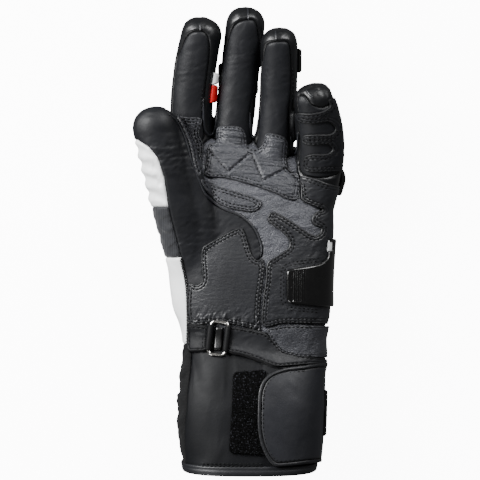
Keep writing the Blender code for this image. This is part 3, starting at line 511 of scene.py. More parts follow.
def finish_of(name, colours, roughness, specular=0.5, texture="Noise", settings=(), **sockets):
    """A new material, whose colour goes from the first to the second of colours with a texture in
    Object coordinates. Returns it with its tree, shader, coordinates, texture and mixed colour."""
    made = bpy.data.materials.new(name)
    made.use_nodes = True
    tree = made.node_tree
    shader = tree.nodes["Principled BSDF"]
    shader.inputs["Roughness"].default_value = roughness
    shader.inputs["Specular IOR Level"].default_value = specular
    for key, value in sockets.items():
        shader.inputs[key.replace("_", " ")].default_value = value
    place = add(tree, "ShaderNodeTexCoord").outputs["Object"]
    pattern = add(tree, "ShaderNodeTex" + texture, settings, {"Vector": place})
    value = pattern.outputs["Fac"]
    dark, light = map(linear, colours[:2])
    colour = add(tree, "ShaderNodeMix", {"data_type": "RGBA", 6: dark, 7: light}, {0: value}).outputs[2]
    tree.links.new(colour, shader.inputs["Base Color"])
    return made, tree, shader, place, value, colour


def leather(name, colours, grain, grain_depth, crease, roughness, specular=0.5, stretch=1):
    """Tanned leather. Its colour drifts between the first two over some 20 mm, and turns to the third
    where the hide is rolled down at a seam: a painted shade for the seam's groove, so that a seam
    reads as a dark line. The grain is pebbles of the size given, under creases that are packed closer
    along the hand by stretch."""
    made, tree, shader, place, _, colour = finish_of(
        name, colours, roughness, specular, settings={"Scale": 55, "Detail": 4}
    )
    turned = add(tree, "ShaderNodeMapping", {"Scale": (1, stretch, 1)}, {"Vector": place}).outputs[0]
    pebbles = add(tree, "ShaderNodeTexVoronoi", {"Scale": 1 / grain}, {"Vector": turned}).outputs[0]
    wrinkled = {"Scale": 1 / crease, "Detail": 6, "Distortion": 0.7}
    creases = add(tree, "ShaderNodeTexNoise", wrinkled, {"Vector": turned}).outputs[0]
    # the edge attribute weighs a painted shade: the colour turns to the third one in each seam's groove
    seam_shade = add(tree, "ShaderNodeAttribute", {"attribute_name": "edge"}).outputs["Fac"]
    part = add(tree, "ShaderNodeMath", {"operation": "MULTIPLY", 1: 0.75}, {0: seam_shade}).outputs[0]
    seam_shaded = add(
        tree, "ShaderNodeMix", {"data_type": "RGBA", 7: linear(colours[2])}, {0: part, 6: colour}
    ).outputs[2]
    tree.links.new(seam_shaded, shader.inputs["Base Color"])
    shine = add(
        tree, "ShaderNodeMapRange", {3: roughness - 0.08, 4: roughness + 0.10}, {0: creases}
    ).outputs[0]
    tree.links.new(shine, shader.inputs["Roughness"])
    fine = add(
        tree, "ShaderNodeBump", {"Strength": 0.8, "Distance": grain_depth}, {"Height": pebbles}
    ).outputs[0]
    both = add(
        tree, "ShaderNodeBump", {"Strength": 0.8, "Distance": grain_depth * 2.5},
        {"Height": creases, "Normal": fine},
    ).outputs[0]
    tree.links.new(both, shader.inputs["Normal"])
    return made


# the palm's goatskin has the deepest grain, so that it scatters the light, and the greyest colour of the
# hides: partly its own tone and partly a painted highlight across the palm
PALM_HIDE = leather(
    "goatskin_palm", ("#2b2c30", "#48494f", "#0a0a0c"),
    grain=0.0011, grain_depth=0.00030, crease=0.0024, roughness=0.42, stretch=1.6,
)
# finished cowhide has almost no grain, and shines softly over its full curves
COWHIDE = leather(
    "cowhide_smooth", ("#0b0c0f", "#121317", "#060607"),
    grain=0.0009, grain_depth=0.00004, crease=0.006, roughness=0.52, specular=0.30,
)

LEATHER = 0.0018
SPLIT = 0.5 * PALM_DEPTH
WHITE_SIDE = on_grid([
    (-140, 103), (-104, 100), (-91, 92.5), (-82, 82), (-76, 64), (-72, 36), (-68, 17),
    (-59, -18), (-54, -41), (-52, -60), (-51.5, -90), (-51.5, -150), (-140, -150),
])
THENAR = curved([
    (-48, 72), (-44, 60), (-38, 50), (-29, 39.5), (-16, 31), (-3.5, 27), (6.7, 20.5), (14.4, 11.5),
    (19.5, 1), (22, -9), (21, -17), (14, -21), (7, -12), (-2, 0), (-32, -14), (-36, -28), (-36, -54),
    (-62, -54), (-80, -30), (-82, 20), (-78, 60), (-62, 76),
])
WRIST_LINE = on_grid([(-150, -101), (10, -106), (150, -133), (150, 180), (-150, 180)])
PALM_OUTLINE = on_grid([
    (-51.5, -160), (-51.5, -90), (-52, -60), (-54, -41), (-59, -18), (-68, 17), (-72, 36), (-76, 64),
    (-82, 140), (140, 140), (140, -160),
])


def both(*zones):
    """What several zones share: the greatest of their distances."""
    return np.maximum.reduce(zones)


def either(*zones):
    """What any of several zones covers: the least of their distances."""
    return np.minimum.reduce(zones)


def owned(points, *names):
    """Negative where the nearest bodies are the ones named: their distance less that of the others."""
    columns = [TRUNK_AWAY if name == "trunk" else AWAY[name] for name in names]
    others = [column for column in range(6, 12) if column not in columns]
    return (points[:, columns].min(axis=1) - points[:, others].min(axis=1)) / 1.3


def above(points, height):
    """Negative over a height: the height less z."""
    return height - points[:, 2]


def thumb_side(points):
    """The thumb with the ball of the thumb: nearest to the thumb, or inside the ball's outline."""
    thenar = both(outline_distance(points, THENAR), above(points, SPLIT))
    return both(either(owned(points, "thumb"), thenar), owned(points, "trunk", "thumb"))


def hand_side(points):
    """The hand's side of the wrist line, without the fingers."""
    return both(outline_distance(points, WRIST_LINE), owned(points, "trunk", "thumb"))


def palm_zone(points):
    """The palm side of the hand above the middle of its depth, less the thumb and its ball."""
    return both(
        outline_distance(points, PALM_OUTLINE), above(points, SPLIT), -thumb_side(points), hand_side(points)
    )


def thumb_zone(points):
    """The thumb and its ball up to the white side."""
    return both(thumb_side(points), -outline_distance(points, WHITE_SIDE))


def seam_edge(points, depth):
    """The plain turned seam of every panel: rolled down by 0.9 mm over 1.6 mm."""
    return roll(depth, 0.0016, 0.0009)


def palm_relief(points, depth):
    """Wrinkles across the hand in two sizes, some 9 and 4 mm apart."""
    wrinkles = 0.00026 * ripple(points, 0.009, 3, (0.5, 2.2, 0.5))
    return seam_edge(points, depth) + (wrinkles + 0.00012 * ripple(points, 0.004, 4, (0.6, 2, 0.5)))


def thumb_relief(points, depth):
    """Smooth, with faint creases across the joint and where the ball of the thumb folds."""
    joint = np.exp(-(((points[:, 1] / ALONG - 84) / 18) ** 2))
    fold = np.exp(-(((points[:, 1] / ALONG + 2) / 30) ** 2))
    creases = 0.00028 * ripple(points, 0.0055, 5, (0.5, 2.5, 0.5)) * np.maximum(joint, 0.6 * fold)
    return seam_edge(points, depth) + creases + 0.00025 * ripple(points, 0.022, 6)


cut_panel("palm_leather_sewn", palm_zone, palm_relief, 0.0, LEATHER, PALM_HIDE, "goatskin_black")
cut_panel("thumb_leather_sewn", thumb_zone, thumb_relief, 0.0, LEATHER, COWHIDE, "leather_black")


# The back of the hand and of the thumb
# White cowhide with a pigmented finish, so it is plainer and glossier than the black, with a dark
# stretch cloth set in where the thumb bends. The white meets the black in a zigzag seam.


def white_leather():
    """Pigmented cowhide: the colour lies on the grain, which shows only as faint creases."""
    made, tree, shader, place, _, _ = finish_of(
        "cowhide_white", ("#eceeee", "#fafbfb"), roughness=0.42, settings={"Scale": 40, "Detail": 5}
    )
    grain = add(tree, "ShaderNodeTexNoise", {"Scale": 700, "Detail": 3}, {"Vector": place}).outputs[0]
    bump = add(tree, "ShaderNodeBump", {"Strength": 0.5, "Distance": 0.00005}, {"Height": grain}).outputs[0]
    tree.links.new(bump, shader.inputs["Normal"])
    return made


def knit(name, colours, roughness, pitch, turn, sheen):
    """Stretch cloth: fine ribs at the pitch in metres, turned about Z, over a soft mottle. The wave
    texture's bands are 0.314 / scale apart."""
    made, tree, shader, place, _, _ = finish_of(
        name, colours, roughness, specular=0.25, settings={"Scale": 160, "Detail": 4}, Sheen_Weight=sheen
    )
    turned = add(tree, "ShaderNodeMapping", {"Rotation": (0, 0, turn)}, {"Vector": place}).outputs[0]
    ribs = add(
        tree, "ShaderNodeTexWave", {"Scale": 0.314 / pitch, "Distortion": 0.6, "Detail": 2},
        {"Vector": turned},
    ).outputs[1]
    bump = add(tree, "ShaderNodeBump", {"Strength": 0.6, "Distance": 0.0002}, {"Height": ribs}).outputs[0]
    tree.links.new(bump, shader.inputs["Normal"])
    return made


WHITE_COWHIDE = white_leather()
# brushed stretch cloth, ribbed 1.2 mm apart: a grey bloom lies on it where it turns away
STRETCH_GREY = knit(
    "stretch_cloth_grey", ("#191a1d", "#27282c"), roughness=0.6, pitch=0.0012, turn=0, sheen=0.25
)
THUMB_BACK_END = 33 * ALONG
INSERT_END = -18 * ALONG


def white(points):
    """Negative on the white side of the seam down the thumb."""
    return outline_distance(points, WHITE_SIDE)


def thumb_back_zone(points):
    """The white side of the thumb, down to where the insert starts."""
    return both(owned(points, "thumb"), white(points), THUMB_BACK_END - points[:, 1])


def insert_zone(points):
    """A band of the white side between two places along the hand, and above the back."""
    band = both(points[:, 1] - THUMB_BACK_END, INSERT_END - points[:, 1], points[:, 0] + 50 * ACROSS)
    return both(band, white(points), above(points, 0.3 * PALM_DEPTH), owned(points, "trunk", "thumb"))


def back_zone(points):
    """All of the hand that the palm, the thumb's black and white and the insert leave."""
    others = (palm_zone, thumb_zone, thumb_back_zone, insert_zone)
    return both(hand_side(points), *[-zone(points) for zone in others])


def thumb_back_relief(points, depth):
    """Padded ribs across the back of the thumb, 9 mm apart, with fine creases all over them."""
    ribs = 0.0008 * np.sin(points[:, 1] * 2 * math.pi / 0.009 + 18 * points[:, 0] / 0.1)
    inner = np.clip(depth / 0.004, 0, 1)
    return seam_edge(points, depth) + ribs * inner + 0.0003 * ripple(points, 0.006, 8)


def insert_relief(points, depth):
    """Puckers across the thumb, some 12 mm apart, as stretch cloth makes when it hangs slack."""
    return roll(depth, 0.002, 0.0008) + 0.0004 * ripple(points, 0.012, 9, (1, 2, 1))


def back_relief(points, depth):
    """Broad faint waves, 20 mm apart."""
    return seam_edge(points, depth) + 0.0003 * ripple(points, 0.02, 10)


for name, zone, relief, look, slot in (
    ("thumb_back_sewn", thumb_back_zone, thumb_back_relief, WHITE_COWHIDE, "leather_white"),
    ("thumb_insert_sewn", insert_zone, insert_relief, STRETCH_GREY, "stretch_grey"),
    ("back_leather_sewn", back_zone, back_relief, WHITE_COWHIDE, "leather_white"),
):
    cut_panel(name, zone, relief, 0.0, LEATHER, look, slot)


# The fingers
# Each is a smooth cowhide wrap round its sides, back and tip, with a panel let into the palm side.
# The seams are turned in, so a dark groove runs up both sides and over under the tip.
FINGER_PANELS = {
    "index": [
        (-74, 112), (-78, 128), (-75, 150), (-68, 172), (-60.5, 190), (-54, 204), (-45.5, 209),
        (-35, 208), (-30.5, 198), (-30.5, 182), (-34, 155), (-36.5, 128), (-37, 100), (-60, 98),
    ],
    "middle": [
        (-29, 96), (-28.5, 122), (-26, 150), (-21.5, 175), (-15, 195), (-7, 214), (4, 220.5),
        (15.5, 219), (19.5, 200), (20.5, 180), (17.5, 160), (13.5, 142), (10.3, 126), (9.5, 96),
    ],
    "ring": [
        (17, 86), (16.5, 128), (18, 155), (22.5, 184), (27, 196.5), (40, 199), (49, 196.5),
        (51.3, 180), (51.5, 156), (49.5, 128), (47, 86),
    ],
    "little": [
        (62, 66), (59, 100), (57, 128), (57, 143), (64, 144.5), (72, 135), (83, 132), (92, 135),
        (95, 120), (98, 96), (98, 66),
    ],
}
# drawn tight over the finger and polished, so it is black, with bright spots on the tips
WRAP_HIDE = leather(
    "cowhide_wrap", ("#070809", "#0d0e11", "#030304"),
    grain=0.0009, grain_depth=0.00003, crease=0.005, roughness=0.38, specular=0.42,
)


def finger_relief(which, tip_bulge):
    """Flat between the seams, with fine creases across the middle joint, and folds over the tip that
    are deepest on the bent little finger."""
    joint = (LIMBS[which][2][1] * 0.45 + LIMBS[which][1][1] * 0.55) * ALONG
    tip = (LIMBS[which][2][1] - 14) * ALONG
    fold = 0.0005 if which == "little" else 0.00016

    def relief(points, depth):
        bent = np.exp(-(((points[:, 1] - joint) / 0.010) ** 2))
        creases = 0.00009 * ripple(points, 0.004, 12, (0.4, 2.5, 0.4)) * bent
        creases += fold * ripple(points, 0.007, 14) * np.clip((points[:, 1] - tip) / 0.006, 0, 1)
        return roll(depth, 0.0018, 0.0011) + creases + 0.00012 * ripple(points, 0.014, 13) + tip_bulge

    return relief


def finger_plane(which):
    """A finger's middle plane, which climbs from root to tip: z is the first result plus y times the
    second."""
    root, _, tip = LIMBS[which][:3]
    slope = (tip[2] - root[2]) * PALM_DEPTH / ((tip[1] - root[1]) * ALONG)
    return root[2] * PALM_DEPTH - slope * root[1] * ALONG, slope


def finger_zone(which, panel):
    """The panel is what lies in its outline above the finger's middle plane, and the wrap is the rest
    of the finger."""
    outline = curved(FINGER_PANELS[which])
    middle, slope = finger_plane(which)

    def zone(points):
        inset = both(outline_distance(points, outline), middle + slope * points[:, 1] - points[:, 2])
        return both(owned(points, which), inset if panel else -inset)

    return zone


for which in FINGERS:
    for part, bulge, look in (("palm_panel", 0.0, COWHIDE), ("wrap", 0.0002, WRAP_HIDE)):
        zone, relief = finger_zone(which, part == "palm_panel"), finger_relief(which, bulge)
        cut_panel(f"{which}_{part}_sewn", zone, relief, 0.0, LEATHER, look, "leather_black")


# The patches on the palm
# Second layers of hide sewn flat on the palm with two rows of stitches near the edge: a quilted pad
# below the fingers, a hooked strip, the heel and outer heel, and fold patches on the little finger.
PATCH_LEVEL = 0.0014
PATCH = 0.0013
QUILTED_PATCH = [
    (-35, 64), (-33, 81), (-31.5, 95), (-24, 99), (-22.5, 112), (-16, 115), (0, 113.5), (5, 107),
    (7, 94), (16, 90.5), (23, 96), (26, 106), (33, 107), (46.5, 101), (46.3, 83.5), (49, 71),
    (59, 66), (59.5, 48), (56, 40), (46, 41.5), (34, 47), (9.6, 55.4), (-15, 61.8),
]
STRIP_PATCH = [
    (-39.5, 61), (-36, 51.5), (-29, 43), (-20, 35.5), (-8, 31), (10, 28), (18, 30), (22, 37),
    (13, 43), (-12, 51), (-28, 56),
]
INDEX_BASE_PATCH = [
    (-63, 124), (-52, 123.5), (-38.5, 121.5), (-41, 107), (-37, 96), (-37, 84), (-38.5, 72),
    (-41, 63), (-45, 70), (-50, 92), (-56, 108),
]
HEEL_PATCH = [
    (-51.6, -46), (-42, -45), (-37.5, -39), (-38.5, -22), (-38, -9), (-31, -3), (-2, 12), (4, 8.5),
    (8, -3), (12, -15), (17, -20), (22.5, -18.5), (24.5, -28), (22.5, -45), (20.5, -62), (19.5, -80),
    (20.5, -91), (10, -88.2), (-12, -84), (-30, -84), (-51.2, -81.5),
]
OUTER_PATCH = [
    (61, 64), (72, 63), (97, 54.5), (140, 50), (140, -83), (84, -84), (45, -83.5), (23, -86),
    (22.5, -62), (25.5, -40), (27, -23.5), (36, -16.5), (47, -9), (49, -2), (43, 7), (28.5, 18),
    (28.5, 25), (35, 28), (54, 17), (71, 5.5), (78, 6), (80.5, 11.5), (73.5, 15), (71.5, 21),
    (75, 27.5), (82, 30.5), (72, 34.5), (61.5, 40), (60.5, 52),
]
LITTLE_PATCH = [
    (58, 127), (71, 127), (82, 129), (89, 134), (92, 142), (140, 136), (140, 70), (100, 69),
    (74, 68), (64, 71), (63.5, 82), (72, 86.5), (86, 86.5), (92, 91), (87, 96), (72, 95),
    (62.5, 98), (64, 105), (76, 106), (90, 106.5), (94.5, 112), (88, 118), (72, 116.5), (59, 119),
]
QUILT_LINE = on_grid([(-33, 92), (-12, 68), (11, 87.5), (23, 59), (46, 71.6), (58, 60)])
STITCH_ROWS = (0.0014, 0.0032)
DOUBLE_ROWS = (0.3, 0.7, 1.0, 1.3, 1.7, 2.3, 2.7, 3.0, 3.3, 3.8)


def line_distance(points, line):
    """The least distance from each point to a chain of straight lines, seen from the palm."""
    start, along = line[:-1], np.diff(line, axis=0)
    away = points[:, None, :2] - start
    share = np.clip((away * along).sum(axis=2) / (along**2).sum(axis=1), 0, 1)
    return np.sqrt(((away - share[..., None] * along) ** 2).sum(axis=2).min(axis=1))


def groove(depth, place, width):
    """A channel with a bell-shaped section, one deep: minus exp(-((depth - place) / width)^2)."""
    return -np.exp(-(((depth - place) / width) ** 2))


def stitched_edge(depth):
    """An edge rolled down over 0.7 mm, and a channel under each of two rows of stitches."""
    channels = sum(0.00026 * groove(depth, row, 0.0004) for row in STITCH_ROWS)
    return roll(depth, 0.0007, 0.0008) + channels


def quilted_relief(points, depth):
    """A pad 0.9 mm high, drawn in to nothing along the quilting, and wrinkled across the hand."""
    quilting = np.exp(-((line_distance(points, QUILT_LINE) / 0.0009) ** 2))
    pad = 0.0009 * np.clip(depth / 0.006, 0, 1)
    wrinkles = 0.00022 * ripple(points, 0.0042, 21, (0.35, 2.2, 0.4))
    return stitched_edge(depth) + pad * (1 - quilting) - 0.0002 * quilting + wrinkles


def patch_relief(points, depth):
    """Fine wrinkles 5 mm apart on waves of 16 mm, both fading towards the sewn edge."""
    wrinkles = 0.00009 * ripple(points, 0.005, 22, (0.5, 2.0, 0.5)) + 0.0002 * ripple(points, 0.016, 23)
    return stitched_edge(depth) + wrinkles * np.clip(depth / 0.004, 0.3, 1)


def heel_relief(points, depth):
    """Nearly smooth, with fine creases across it that deepen towards the strap."""
    v = points[:, 1] / ALONG
    near = np.exp(-(((v + 84) / 12) ** 2)) * np.clip((points[:, 0] / ACROSS + 60) / 20, 0, 1)
    creases = 0.00045 * near * ripple(points, 0.006, 24, (1.6, 1.0, 0.4))
    return stitched_edge(depth) + creases + 0.00004 * ripple(points, 0.0022, 25, (0.2, 2.5, 0.4))


# pebbled goatskin takes the light in small grey points between its wrinkles
GOATSKIN = leather(
    "goatskin_pebbled", ("#222327", "#35363b", "#08080a"),
    grain=0.0012, grain_depth=0.00026, crease=0.0030, roughness=0.44, stretch=1.9,
)
# the heel is of flatter goatskin, darker and finely lined across
HEEL_HIDE = leather(
    "goatskin_smooth", ("#121316", "#1b1c20", "#070708"),
    grain=0.0011, grain_depth=0.00007, crease=0.003, roughness=0.45, stretch=2.2,
)


def top_patch(outline, height=SPLIT, body=None):
    """A patch's zone: inside its outline and above a height, and no further than 4 mm off the body
    named."""
    outline = curved(outline)

    def zone(points):
        inside = both(outline_distance(points, outline), above(points, height))
        return inside if body is None else both(inside, owned(points, body) - 0.004)

    return zone


for name, zone, relief, look, slot in (
    ("quilted_patch_sewn", top_patch(QUILTED_PATCH), quilted_relief, GOATSKIN, "goatskin_black"),
    ("strip_patch_sewn", top_patch(STRIP_PATCH), patch_relief, GOATSKIN, "goatskin_black"),
    ("index_base_patch_sewn", top_patch(INDEX_BASE_PATCH), patch_relief, GOATSKIN, "goatskin_black"),
    ("heel_patch_sewn", top_patch(HEEL_PATCH), heel_relief, HEEL_HIDE, "leather_black"),
    ("outer_patch_sewn", top_patch(OUTER_PATCH), patch_relief, HEEL_HIDE, "leather_black"),
    ("little_patch_sewn", top_patch(LITTLE_PATCH, 0.034, "little"), patch_relief, COWHIDE, "leather_black"),
):
    made = cut_panel(name, zone, relief, PATCH_LEVEL, PATCH, look, slot, DOUBLE_ROWS, 1)

# The sewing on the palm
# Black bonded nylon, lockstitched in two rows along the edge of each patch, at about eight stitches
# to the inch. Each stitch is a short capsule whose two ends dip into the leather.
STITCH_PITCH = 0.0027
STITCH_LENGTH = 0.0020
THREAD = 0.00068
OFF_THE_SKIN = 0.0012
ROW_BREAK = 0.004
OUTLINE_STEP = 0.0008


def topmost(points):
    """The points that are seen from above: within 3 mm of the highest in their own 2 mm square."""
    square = np.floor(points[:, :2] / 0.002).astype(int)
    square -= square.min(axis=0)
    index = square[:, 0] * (square[:, 1].max() + 1) + square[:, 1]
    highest = np.full(index.max() + 1, -1.0)
    np.maximum.at(highest, index, points[:, 2])
    return points[(points[:, 2] > highest[index] - 0.003) & (points[:, 5] > 0.08)]


SEEN = topmost(HAND)
SEEN_TREE = KDTree(len(SEEN))
for index, (x, y) in enumerate(SEEN[:, :2]):
    SEEN_TREE.insert((x, y, 0), index)
SEEN_TREE.balance()


def nearest_seen(places):
    """For each place seen from the palm, the seen point nearest to it and how far off that is."""
    found = [SEEN_TREE.find((x, y, 0)) for x, y in places]
    return np.array([one[1] for one in found], int), np.array([one[2] for one in found])


def seated(places, lift):
    """Where places seen from the palm lie on the skin: on the plane through the nearest seen point,
    z = z0 - (nx dx + ny dy) / nz, then raised along the normal by lift. Returns points and normals."""
    nearest, _ = nearest_seen(places)
    found, normal = SEEN[nearest, :3], SEEN[nearest, 3:6]
    away = places - found[:, :2]
    fall = normal[:, 0] * away[:, 0] + normal[:, 1] * away[:, 1]
    height = found[:, 2] - fall / np.maximum(normal[:, 2], 0.3)
    return np.column_stack([places, height]) + normal * np.reshape(lift, (-1, 1)), normal


def spaced(path, pitch):
    """Points on a path at an even pitch along its length, and how far along it each is."""
    lengths = np.append(0, np.cumsum(np.linalg.norm(np.diff(path, axis=0), axis=1)))
    along = np.arange(0, lengths[-1], pitch)
    return np.stack([np.interp(along, lengths, path[:, i]) for i in range(path.shape[1])], axis=1), along


def inset(outline, distance):
    """A closed outline moved inwards, or outwards where distance is negative: points every 0.8 mm along
    it, each moved by distance along the inward normal, and those that end nearer to it left out."""
    outline = spaced(np.vstack([outline, outline[:1]]), OUTLINE_STEP)[0]
    way = np.roll(outline, -1, axis=0) - np.roll(outline, 1, axis=0)
    way /= np.linalg.norm(way, axis=1)[:, None]
    ahead = np.roll(outline, -1, axis=0)
    turn = np.sign((outline[:, 0] * ahead[:, 1] - ahead[:, 0] * outline[:, 1]).sum())
    moved = outline + np.stack([-way[:, 1], way[:, 0]], axis=1) * turn * distance
    return moved[-np.sign(distance) * outline_distance(moved, outline) > abs(distance) * 0.9]


def capsules(starts, ends, normals, thick, sides=6):
    """A capsule from each start to each end: rings of a few points at set shares of its length, with
    half the thickness times 0.05, 0.8, 1, 0.8 and 0.05."""
    way = ends - starts
    side = np.cross(way, normals)
    side /= np.maximum(np.linalg.norm(side, axis=1), 1e-12)[:, None]
    up = np.cross(side, way)
    up /= np.maximum(np.linalg.norm(up, axis=1), 1e-12)[:, None]
    shares, sizes = np.array([0.0, 0.12, 0.5, 0.88, 1.0]), np.array([0.05, 0.8, 1.0, 0.8, 0.05]) * thick / 2
    lifts = np.array([-0.5, 0.0, 0.35, 0.0, -0.5]) * thick
    turn = np.arange(sides) * 2 * math.pi / sides
    round_it = np.cos(turn)[:, None] * side[:, None, None] + np.sin(turn)[:, None] * up[:, None, None]
    middle = starts[:, None] + way[:, None] * shares[:, None] + normals[:, None] * lifts[:, None]
    points = middle[:, :, None] + round_it * sizes[:, None, None]
    quads = ring_quads(5, sides)[:, [0, 3, 2, 1]]
    fan = np.stack([np.zeros(sides - 2, int), np.arange(2, sides), np.arange(1, sides - 1)], axis=1)
    one = np.vstack([quads[:, [0, 1, 2]], quads[:, [0, 2, 3]], fan, fan[:, [0, 2, 1]] + 4 * sides])
    faces = one[None] + np.arange(len(starts))[:, None, None] * 5 * sides
    return points.reshape(-1, 3), faces.reshape(-1, 3)


def thread_finish():
    """Bonded nylon: a hard, slightly shiny cord, its twist showing as fine slanting lines."""
    return finish_of(
        "nylon_thread_black", ("#030304", "#0a0a0c"), roughness=0.60, specular=0.15,
        texture="Wave", settings={"Scale": 900, "Distortion": 2},
    )[0]


THREAD_BLACK = thread_finish()


def sewn_rows(name, paths, lift, slot="leather_black"):
    """Stitches along paths, at the pitch, each from its place on the path to one stitch length on."""
    starts, ends = [], []
    for path in paths:
        step = np.linalg.norm(np.diff(path, axis=0), axis=1)
        gaps = np.flatnonzero(step > ROW_BREAK) + 1 if len(path) > 8 else []
        for run in np.split(path, gaps):
            places = spaced(run, STITCH_PITCH)[0] if len(run) > 1 else run
            if len(places) > 1:
                ahead = np.diff(places, axis=0)
                starts.append(places[:-1])
                ends.append(places[:-1] + ahead * STITCH_LENGTH / STITCH_PITCH)
    starts, ends = np.vstack(starts), np.vstack(ends)
    seen = np.abs(seated(starts, 0.0)[0][:, 2] - seated(ends, 0.0)[0][:, 2]) < OFF_THE_SKIN
    seen &= (nearest_seen(starts)[1] < OFF_THE_SKIN) & (nearest_seen(ends)[1] < OFF_THE_SKIN)
    first, normals = seated(starts[seen], lift)
    last, _ = seated(ends[seen], lift)
    points, faces = capsules(first, last, normals, THREAD)
    return piece(name, points, faces, THREAD_BLACK, (), slot)


PATCHES = (QUILTED_PATCH, STRIP_PATCH, INDEX_BASE_PATCH, HEEL_PATCH, OUTER_PATCH, LITTLE_PATCH)
PATCH_ROWS = [inset(curved(outline), row) for outline in PATCHES for row in STITCH_ROWS]
sewn_rows("patch_stitches", PATCH_ROWS, lift=PATCH_LEVEL - 0.00008)
sewn_rows("quilting_stitches", [spaced(QUILT_LINE, 0.001)[0]], lift=PATCH_LEVEL - 0.0003)

# The zigzag seam along the white side
# The white lies on the black, and is held by a close zigzag of black thread over its edge. Each leg
# of it is a stitch that dips into the leather at both its ends.
ZIGZAG_WIDTH = 0.0020
ZIGZAG_STEP = 0.0009
ZIGZAG_THREAD = 0.0009


def zigzag(name, path, lift):
    """Stitches that cross a path from side to side: half the width to the left, then to the right."""
    places, _ = spaced(path, ZIGZAG_STEP)
    way = np.gradient(places, axis=0)
    way /= np.linalg.norm(way, axis=1)[:, None]
    sign = np.where(np.arange(len(places)) % 2 == 0, 0.5, -0.5)[:, None]
    corners = places + np.stack([way[:, 1], -way[:, 0]], axis=1) * sign * ZIGZAG_WIDTH
    found, normals = seated(corners, lift)
    points, faces = capsules(found[:-1], found[1:], normals[:-1], ZIGZAG_THREAD)
    return piece(name, points, faces, THREAD_BLACK, (), "leather_black")


ZIGZAG_LINE = on_grid([(-59.1, -18), (-54.3, -40), (-52.6, -56), (-52, -75), (-51.9, -90), (-52.2, -107)])
zigzag("white_side_zigzag", smooth_through(ZIGZAG_LINE, 60), lift=0.0006)

# The welts
# A thin strip of leather folded over a cord is sewn in round each fork between the fingers, and a
# shorter one stands on each fingertip, where the wrap closes.
WELTS = {
    "index_middle_welt": [
        (-37, 142), (-36.5, 124), (-36, 112), (-32, 105), (-26.5, 107), (-23.2, 118), (-22.6, 134),
    ],
    "middle_ring_welt": [
        (9.8, 128), (10, 112), (11, 105), (13.4, 102.5), (16.5, 106), (18.5, 114), (19.5, 128),
    ],
    "ring_little_welt": [
        (50.5, 104), (50.5, 92), (51.5, 87.5), (54, 85.5), (57, 88), (58, 97), (58.5, 108),
    ],
    "middle_tip_welt": [(7.8, 233), (8.0, 227), (8.6, 220.5)],
    "ring_tip_welt": [(35.6, 209), (35.8, 204), (36.2, 199.5)],
    "little_tip_welt": [(66, 150), (69, 146), (73, 141.5)],
    "index_tip_welt": [(-40, 216), (-39.6, 212.5), (-39.4, 209.5)],
}
# a thin strip stretched over its cord, so it is smooth and carries one fine line of light
WELT_HIDE = leather(
    "cowhide_welt", ("#101115", "#191a1f", "#08080a"),
    grain=0.0008, grain_depth=0.00003, crease=0.004, roughness=0.40,
)


def tube_through(centres, radius, sides=10):
    """A tube of round section along a line, with a ring at each point and a flat face at both ends."""
    centres = np.asarray(centres)
    way = np.gradient(centres, axis=0)
    way /= np.linalg.norm(way, axis=1)[:, None]
    side = np.cross(way, (0, 0, 1.0)) + np.array([1e-9, 0, 0])
    side /= np.linalg.norm(side, axis=1)[:, None]
    up = np.cross(side, way)
    turn = np.arange(sides) * 2 * math.pi / sides
    radius = np.broadcast_to(radius, len(centres))[:, None, None]
    rings = centres[:, None] + radius * (
        np.cos(turn)[:, None] * side[:, None] + np.sin(turn)[:, None] * up[:, None]
    )
    count = len(centres)
    ends = [list(range(sides)), ((count - 1) * sides + np.arange(sides)[::-1]).tolist()]
    return rings.reshape(-1, 3), [*ring_quads(count, sides).tolist(), *ends]


def relaxed_line(points, times):
    """A line evened out: each point but the ends moved half way to the mean of its two neighbours."""
    for _ in range(times):
        points = np.vstack([points[:1], (points[:-2] + 2 * points[1:-1] + points[2:]) / 4, points[-1:]])
    return points


def welt(name, path, count, lift, evened, radius, ease):
    """A tube along a path on the skin, raised by lift and evened out, whose radius grows from a
    quarter to its full size over the first and last few rings, as many as ease says."""
    centres = relaxed_line(seated(smooth_through(path, count), lift)[0], evened)
    taper = np.minimum(1, np.minimum(np.arange(count), np.arange(count)[::-1]) / ease + 0.25)
    points, faces = tube_through(centres, radius * taper)
    piece(name, points, faces, WELT_HIDE, (), "leather_black", edge=np.zeros(len(points)))


for name, path in WELTS.items():
    radius = 0.0007 if "tip" in name else 0.0009
    welt(name, on_grid(path), count=40, lift=0.0003, evened=10, radius=radius, ease=6)

# The piping of the thumb
# A thin leather piping is sewn into the seam that joins the thumb to the index finger and the palm.
# It is a strip folded over a cord, so it stands as a fine bead along the whole seam.
THUMB_SEAM = on_grid([
    (-71, 126), (-62.6, 118.2), (-55.1, 103.3), (-50.5, 88.3), (-46.6, 74), (-40.6, 59.6), (-36.5, 49),
    (-29, 40), (-16.2, 31.2), (-4, 27), (6.5, 20.5), (14.4, 11.5), (19.3, 1), (21.8, -9), (20.6, -17),
])
welt("thumb_seam_piping", THUMB_SEAM, count=120, lift=0.0001, evened=12, radius=0.00075, ease=8)
FINGER_ROWS = [
    on_grid([(-37.8, 152), (-38.2, 140), (-38.6, 124)]), on_grid([(52.6, 172), (53.2, 156), (52.2, 138)]),
]
sewn_rows("finger_stitches", FINGER_ROWS, lift=0.00002)

# The moulded slider
# Glossy thermoplastic on the heel of the hand, riveted under its frame of leather. The half next to
# the palm is ribbed, so that it slides on tarmac, and there is an open window at its top corner.
SLIDER_OUTLINE = [
    (46.7, -60), (46.7, -31), (52, -28.5), (66, -26.8), (81, -24), (89, -18), (91.5, -8), (91.5, 1),
    (140, 1), (140, -67), (92, -67), (70, -65.5), (51, -64),
]
SLIDER_WINDOW = on_grid([(91.2, -1.5), (95, -1.5), (94.2, -11.5), (90.4, -11)])
RIB_START, RIB_END, RIB_PITCH = 50 * ACROSS, 64 * ACROSS, 0.00125
SLIDER_LEVEL, SLIDER_REACH = 0.0037, 0.0035
CORNER = 0.003


